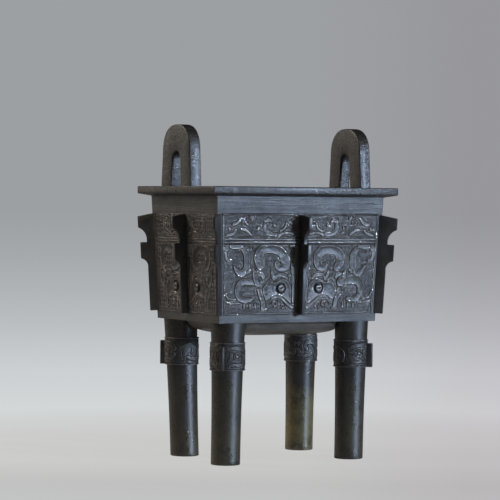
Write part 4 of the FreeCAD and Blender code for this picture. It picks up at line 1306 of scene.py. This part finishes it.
def make_panel(zone, side, half, seed):
    low, high = (0.0, MASK_HEIGHT) if zone == "mask" else (MASK_HEIGHT, ZONE_HEIGHT)
    far_low, far_high = panel_far(side, low), panel_far(side, high)
    columns, rows = int((far_high - PANEL_NEAR) / GRID_STEP), int((high - low) / GRID_STEP)
    bm = bmesh.new()
    bmesh.ops.create_grid(bm, x_segments=columns, y_segments=rows, size=0.5)
    flat = np.array([vert.co for vert in bm.verts]) + 0.5
    y = flat[:, 1] * (high - low)
    reach = far_low + (far_high - far_low) * flat[:, 1]
    x = PANEL_NEAR + flat[:, 0] * (reach - PANEL_NEAR)
    inside = np.minimum(np.minimum(x - PANEL_NEAR, reach - x), np.minimum(y, high - low - y))
    warp = WARP * smooth_step(inside, 0.0, WARP_BORDER)
    warped_x = x + warp * soft_noise(x, y, WARP_SIZE, seed)
    warped_y = y + warp * soft_noise(x, y, WARP_SIZE, seed + 1)
    if zone == "mask":
        height = mask_height_map(warped_x, warped_y, side, half, seed)
    else:
        height = frieze_height_map(warped_x, warped_y, side, seed)
    height = paint_ridge(height, reach - BORDER_RIDGE - x, BORDER_HALF)
    for more, (rise, size) in ((2, FINE_UNEVENNESS), (3, BROAD_UNEVENNESS)):
        height += rise * soft_noise(x, y, size, seed + more)
    height = np.minimum(height, RELIEF_LIMIT)
    for vert, across, along, out in zip(bm.verts, x * HALVES[half], y + low, height):
        vert.co = (across, along, out)
    lifts = wear_and_shade_share(height, columns + 1)
    if half == "left":
        bmesh.ops.reverse_faces(bm, faces=bm.faces[:])
    rims = [edge for edge in bm.edges if edge.is_boundary]
    skirt = bmesh.ops.extrude_edge_only(bm, edges=rims)["geom"]
    for vert in only(BMVert, skirt):
        vert.co.z = -PANEL_DEPTH
    bmesh.ops.contextual_create(bm, geom=only(BMEdge, skirt))
    return finish_piece(bm, f"{zone}_panel_{side}_{half}", RELIEF, side_frame(side), lifts)


triangles = 0
for number, (side, half) in enumerate((side, half) for side in SIDES for half in HALVES):
    for zone in ("mask", "frieze"):
        panel = make_panel(zone, side, half, PANEL_SEED + SEED_STEP * number)
        triangles += 2 * len(panel.data.polygons)
print("16 panels, about", triangles, "triangles")

# %% [markdown]
# The eyes were set in their sockets as separate round pegs: a boss that is flat on top
# and rounded down at its edge, with a short level slit for the pupil. A spun profile
# makes the boss, and the points near the slit are pushed in.

# %% Eyes
EYE_COLLAR, EYE_HEIGHT, EYE_TOP, EYE_FALL = -0.5, 1.0, 0.62, 1.6
SLIT_HALF_LENGTH, SLIT_HALF_WIDTH, SLIT_DEPTH = 1.4, 0.42, 0.8
EYE_SCALE = 0.94
EYE_STEPS, EYE_RINGS = 56, 20
EYE_WEAR, EYE_WEAR_DEPTH = 0.75, 0.6


def eye_profile():
    """Distance from the eye's axis and level, from the middle of its top to its back."""
    radius = EYE_RADIUS * EYE_SCALE
    profile = []
    for share in (ring / EYE_RINGS for ring in range(EYE_RINGS + 1)):
        fall = max(0.0, (share - EYE_TOP) / (1 - EYE_TOP))
        level = EYE_COLLAR + (EYE_HEIGHT - EYE_COLLAR) * math.sqrt(1 - fall ** EYE_FALL)
        profile.append((radius * share, level))
    return profile + [(radius, -PANEL_DEPTH), (0, -PANEL_DEPTH)]


def make_eye(side, half):
    bm = bmesh.new()
    verts = [bm.verts.new((out, 0, level)) for out, level in eye_profile()]
    edges = [bm.edges.new(ends) for ends in zip(verts, verts[1:])]
    bmesh.ops.spin(bm, geom=verts + edges, cent=(0, 0, 0), axis=(0, 0, 1), angle=math.tau,
                   steps=EYE_STEPS, use_merge=True)
    for vert in bm.verts:
        across = max(0.0, abs(vert.co.x) - SLIT_HALF_LENGTH + SLIT_HALF_WIDTH)
        away = math.hypot(across, vert.co.y)
        if vert.co.z > EYE_COLLAR and away < 2 * SLIT_HALF_WIDTH:
            vert.co.z -= SLIT_DEPTH * math.cos(away / SLIT_HALF_WIDTH * math.pi / 4) ** 2
    bmesh.ops.remove_doubles(bm, verts=bm.verts[:], dist=MERGE)
    levels = np.array([vert.co.z for vert in bm.verts])
    # Below the worn top the lift falls to nothing, so the relief finish darkens the slit and the
    # sides of the boss as painted shade.
    lifts = EYE_WEAR * smooth_step(levels, EYE_HEIGHT - EYE_WEAR_DEPTH, EYE_HEIGHT)
    middle = Matrix.Translation((EYE_PLACE[0] * HALVES[half], EYE_PLACE[1], 0))
    return finish_piece(bm, f"mask_eye_{side}_{half}", RELIEF, side_frame(side) @ middle, lifts)


for side in SIDES:
    for half in HALVES:
        eye = make_eye(side, half)
print("8 eyes of", len(eye.data.polygons), "faces")

# %% [markdown]
# Near its top each leg wears a band with a smaller mask on its outward side, its nose
# a short plain flange. The same painted strokes make it: the grid is as long as the
# way round the leg, and is then rolled into a sleeve and closed at the seam.

# %% Leg bands
BAND_LOW = box_mm("leg_band_front_left")[0].z
BAND_HEIGHT = box_mm("leg_band_front_left")[1].z - BAND_LOW
BAND_RADIUS = 12.75
BAND_ROUND = math.tau * BAND_RADIUS
BAND_STEP = 0.3
BAND_FORMS = [
    [(5.0, 3.6, 0.8), (9.0, 4.6, 1.0), (13.0, 3.8, 1.0), (16.5, 5.4, 1.2), (17.8, 8.4, 1.2)],
    [(4.6, 7.4, 1.0), (6.4, 9.8, 1.2), (6.0, 12.6, 1.0)],
    [(3.6, 15.6, 1.0), (7.0, 17.0, 1.3), (12.0, 16.6, 1.5), (16.4, 15.2, 1.5),
     (18.4, 12.4, 1.3), (16.2, 11.2, 1.0)],
    [(10.8, 10.6, 2.9)],
    [(24.0, 4.6, 1.2), (22.6, 9.0, 1.3), (25.0, 13.4, 1.4), (29.6, 15.6, 1.4),
     (33.4, 13.0, 1.3), (32.0, 9.6, 1.1)],
    [(28.0, 6.2, 1.1), (32.4, 4.8, 1.1), (37.0, 5.6, 1.2), (38.8, 9.6, 1.2)],
    [(38.4, 14.4, 1.4)],
]
BAND_TOP, BAND_RELIEF, BAND_LIFT_SHARE = 0.75, 0.62, 0.78
# the eye: its middle, inner and outer radius, level
BAND_EYE = ((10.8, 10.6), 1.3, 2.3, -0.4)
# the ridges along both ends: distance from the end, half width, height
BAND_RIDGE_IN, BAND_RIDGE = 0.6, (0.5, 0.7)
BAND_WARP, BAND_WARP_SIZE = 0.2, 5.0
LEG_GAP = 0.02
BAND_SEED = 300


def band_height_map(x, y, seed):
    height = spiral_ground(x, y, seed)
    for form in BAND_FORMS:
        height = paint(height, *stroke_depth(x, y, form), top=BAND_TOP)
    height = paint_ring(height, x, y, *BAND_EYE)
    for level in (BAND_RIDGE_IN, BAND_HEIGHT - BAND_RIDGE_IN):
        height = paint_ridge(height, y - level, *BAND_RIDGE)
    return height


def make_band(corner, seed):
    columns, rows = int(BAND_ROUND / BAND_STEP), int(BAND_HEIGHT / BAND_STEP)
    bm = bmesh.new()
    bmesh.ops.create_grid(bm, x_segments=columns, y_segments=rows, size=0.5)
    flat = np.array([vert.co for vert in bm.verts])
    round_way, y = flat[:, 0] * BAND_ROUND, (flat[:, 1] + 0.5) * BAND_HEIGHT
    from_nose = np.abs(round_way)
    warped = from_nose + BAND_WARP * soft_noise(from_nose, y, BAND_WARP_SIZE, seed)
    height = band_height_map(warped, y, seed)
    # a lower lift makes the bands less worn and, through the painted shade of the relief finish,
    # darker all over
    lifts = wear_and_shade_share(height, columns + 1) * BAND_LIFT_SHARE
    outward = math.atan2(CORNERS[corner][1], CORNERS[corner][0])
    middle = leg_middle(corner, BAND_LOW + BAND_HEIGHT / 2)
    angles, radii = outward + round_way / BAND_RADIUS, BAND_RADIUS + height * BAND_RELIEF
    for vert, angle, radius, level in zip(bm.verts, angles, radii, y):
        vert.co = (middle.x + math.cos(angle) * radius, middle.y + math.sin(angle) * radius,
                   BAND_LOW + level)
    for end in (BAND_LOW, BAND_LOW + BAND_HEIGHT):
        rims = [edge for edge in edges_where(bm, lambda place: abs(place.z - end) < MERGE)
                if edge.is_boundary]
        ledge = bmesh.ops.extrude_edge_only(bm, edges=rims)["geom"]
        seat = leg_middle(corner, end)
        for vert in only(BMVert, ledge):
            away = Vector((vert.co.x - seat.x, vert.co.y - seat.y, 0)).normalized()
            vert.co = seat + away * (leg_radius(end) + LEG_GAP)
    layer = bm.verts.layers.float.new("lift")
    for vert, lift in zip(bm.verts, lifts):
        vert[layer] = lift
    bmesh.ops.remove_doubles(bm, verts=bm.verts[:], dist=MERGE)
    bmesh.ops.bridge_loops(bm, edges=[edge for edge in bm.edges if edge.is_boundary])
    return finish_piece(bm, f"leg_band_{corner}", RELIEF)


for number, corner in enumerate(CORNERS):
    band = make_band(corner, BAND_SEED + number)
print("4 bands of", len(band.data.polygons), "faces")

# %% [markdown]
# The small flange on each band is a plain tab with softened edges, cast as the nose of
# the small mask. It stands on the band at the leg's outward diagonal.

# %% Band flanges
TAB_OUTER, TAB_THICKNESS, TAB_HEIGHT, TAB_ROUNDING = 16.8, 3.0, 18.0, 0.6


def make_band_flange(corner):
    bm = bmesh.new()
    bmesh.ops.create_cube(bm, size=1)
    bmesh.ops.scale(bm, vec=(TAB_OUTER - BAND_RADIUS, TAB_THICKNESS, TAB_HEIGHT),
                    verts=bm.verts[:])
    bmesh.ops.translate(bm, vec=((TAB_OUTER + BAND_RADIUS) / 2, 0, TAB_HEIGHT / 2),
                        verts=bm.verts[:])
    soften(bm, [edge for edge in bm.edges
                if max(vert.co.x for vert in edge.verts) > TAB_OUTER - MERGE], TAB_ROUNDING)
    foot = leg_middle(corner, BAND_LOW + BAND_HEIGHT / 2)
    foot.z = BAND_LOW
    return finish_piece(bm, f"leg_flange_{corner}", FLANGE, corner_frame(corner, foot))


for corner in CORNERS:
    tab = make_band_flange(corner)
print("4 band flanges, box", [round(v, 1) for v in tab.dimensions / MM])

# %% [markdown]
# The clay cores are hidden in the legs. Their solids have the right shape already, so
# they keep it and only change their finish.

# %% Clay cores
for corner in CORNERS:
    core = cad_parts[f"leg_core_{corner}"]
    core.data.materials.clear()
    core.data.materials.append(CLAY)
print("4 clay cores finished")

# %% [markdown]
# The stage is plain: a pale floor that darkens softly with distance until it meets the
# grey behind. A curved paper sweep would do it in a studio. A wide disc with a ramp of
# tones over its distance is easier to match. Close round the vessel the ramp is darker:
# a painted shadow. The floor near the vessel is an ordinary matt surface, so it takes
# soft shadows, with a share of its own tone laid over for the camera. Farther off, only
# the camera and mirror-like surfaces see its tone.

# %% Floor
FLOOR_RADIUS, FLOOR_SEGMENTS = 40.0, 96
FLOOR_LOOK = {"Base Color": (0.62, 0.625, 0.62, 1), "Roughness": 0.5, "Specular IOR Level": 0.25}
# the first stops, close round the vessel, are darker: a painted shadow round it
FLOOR_TONES_AND_SHADOW = ((0.0, (0.640, 0.638, 0.628, 1)), (0.09, (0.668, 0.673, 0.668, 1)),
             (0.15, (0.710, 0.735, 0.745, 1)), (0.235, (0.625, 0.650, 0.668, 1)),
             (0.376, (0.530, 0.556, 0.575, 1)), (0.435, (0.494, 0.515, 0.535, 1)),
             (0.574, (0.430, 0.450, 0.468, 1)), (0.735, (0.376, 0.392, 0.407, 1)),
             (0.906, (0.340, 0.356, 0.370, 1)), (1.0, (0.337, 0.350, 0.364, 1)))
LENS_HALF_WIDTH = 0.09
DIM_SIDE = (0.925, 0.885, 0.905, 1)
# metres over which the tone fades, and over which the floor gives way to it
FADE_REACH, FADE_RANGE = 2.6, (0.35, 0.9)
FRONT_RANGE, FRONT_DIM = (-0.18, -0.05), 0.87
FLOOR_GLOW, MIRRORED_TONE = 0.85, 0.04


def dim_right(colour, way):
    """The backdrop is lit from the left, so it dims a little towards the right."""
    slope = maths("DIVIDE", dot(way, level_right), dot(way, ahead))
    share = spread(slope, LENS_HALF_WIDTH / 4, LENS_HALF_WIDTH)
    return tint(colour, blend(share, (1, 1, 1, 1), DIM_SIDE))


def make_floor_material():
    material, tree, shader = new_material("studio_floor")
    fill(shader, FLOOR_LOOK)
    place = object_place(tree)
    away = wire_up("VectorMath", {0: place}, operation="LENGTH").outputs["Value"]
    ramp = wire_up("ValToRGB", {0: maths("DIVIDE", away, plus(away, FADE_REACH))})
    stops = ramp.color_ramp.elements
    while len(stops) < len(FLOOR_TONES_AND_SHADOW):
        stops.new(1.0)
    for stop, (position, tone) in zip(stops, FLOOR_TONES_AND_SHADOW):
        stop.position, stop.color = position, tone
    way = wire_up("VectorMath", {0: place, 1: camera.matrix_world.translation},
                  operation="SUBTRACT").outputs[0]
    front = spread(dot(place, ahead), *FRONT_RANGE, FRONT_DIM, 1.0)
    tone = tint(dim_right(ramp.outputs[0], way), front)
    rays = add_node(tree, "LightPath").outputs
    seen = rays["Is Camera Ray"]
    glow = wire_up("Emission", {"Color": tone, "Strength": between(seen, MIRRORED_TONE, 1.0)})
    near = times(seen, FLOOR_GLOW)
    far = times(spread(away, *FADE_RANGE), maths("MAXIMUM", seen, rays["Is Glossy Ray"]))
    share = plus(near, times(far, maths("SUBTRACT", 1.0, near)))
    mixed = wire_up("MixShader", {0: share, 1: shader.outputs[0], 2: glow.outputs[0]})
    fill(tree.nodes["Material Output"], {"Surface": mixed.outputs[0]})
    return material


def make_stage():
    bm = bmesh.new()
    bmesh.ops.create_circle(bm, cap_ends=True, segments=FLOOR_SEGMENTS, radius=FLOOR_RADIUS)
    mesh = mesh_from(bm, "studio_floor")
    mesh.materials.append(make_floor_material())
    ground = show("studio_floor", mesh)


make_stage()
print("floor of", FLOOR_RADIUS, "m")

# %% [markdown]
# Behind the floor's edge the camera sees the floor's last tone. To the vessel the room
# is almost black, because only the lamps should light it.

# %% Background
ROOM_LIGHT = {"Color": (0.96, 0.97, 1.0, 1), "Strength": 0.004}


def make_world():
    world = bpy.data.worlds.new("studio")
    world.use_nodes = True
    bpy.context.scene.world = world
    tree = world.node_tree
    room = tree.nodes["Background"]
    fill(room, ROOM_LIGHT)
    way = add_node(tree, "TexCoord").outputs["Generated"]
    behind = wire_up("Background", {"Color": dim_right(FLOOR_TONES_AND_SHADOW[-1][1], way), "Strength": 1.0})
    seen = add_node(tree, "LightPath").outputs["Is Camera Ray"]
    mixed = wire_up("MixShader", {0: seen, 1: room.outputs[0], 2: behind.outputs[0]})
    fill(tree.nodes["World Output"], {"Surface": mixed.outputs[0]})


make_world()
print("a dark room with a grey backdrop")

# %% [markdown]
# One small, cool soft box stands low to the front right. It draws the bright stripe
# down each leg and throws the flanges' shadows to the left. A wide warm one hangs high
# behind the left side, and only grazes the left wall. The others are weak fills. Nothing
# else lights the front left, so faces that look that way stay nearly black.

# %% Lights
# name: turn from the front to the right, height above the floor, both in degrees,
# distance and radius in metres, brightness of its face, colour
SOFT_BOXES = {
    "key": (30.5, 8.0, 2.5, 0.12, 325.0, (0.60, 0.765, 1.04)),
    "left_window": (-128.0, 38.0, 2.0, 0.6, 5.9, (1.0, 0.91, 0.82)),
    "top_fill": (20.0, 45.0, 2.0, 0.5, 0.8, (1.0, 0.9, 0.7)),
    "back_fill": (-160.0, 9.0, 2.5, 0.6, 0.9, (1.0, 0.96, 0.88)),
    "front_fill": (-20.0, 12.0, 2.5, 0.6, 0.2, (0.9, 0.9, 1.0)),
    "right_fill": (80.0, 14.0, 2.5, 0.6, 1.0, (0.82, 0.88, 1.0)),
}


def soft_box(name, azimuth, elevation, distance, radius, brightness, colour):
    """A round soft box that faces the vessel's middle."""
    data = bpy.data.lights.new(name, "AREA")
    data.shape = "DISK"
    data.size = 2 * radius
    data.energy = brightness * math.pi * math.pi * radius ** 2
    data.color = colour
    lamp = show(name, data)
    lamp.visible_camera = False
    azimuth, elevation = math.radians(azimuth), math.radians(elevation)
    way = Vector((math.sin(azimuth) * math.cos(elevation),
                  -math.cos(azimuth) * math.cos(elevation), math.sin(elevation)))
    middle = Vector((0, 0, TARGET_UP * MM))
    turned = way.to_track_quat("Z", "Y").to_matrix().to_4x4()
    lamp.matrix_world = Matrix.Translation(middle + way * distance) @ turned


for name, settings in SOFT_BOXES.items():
    soft_box(name, *settings)
print(len(SOFT_BOXES), "soft boxes")
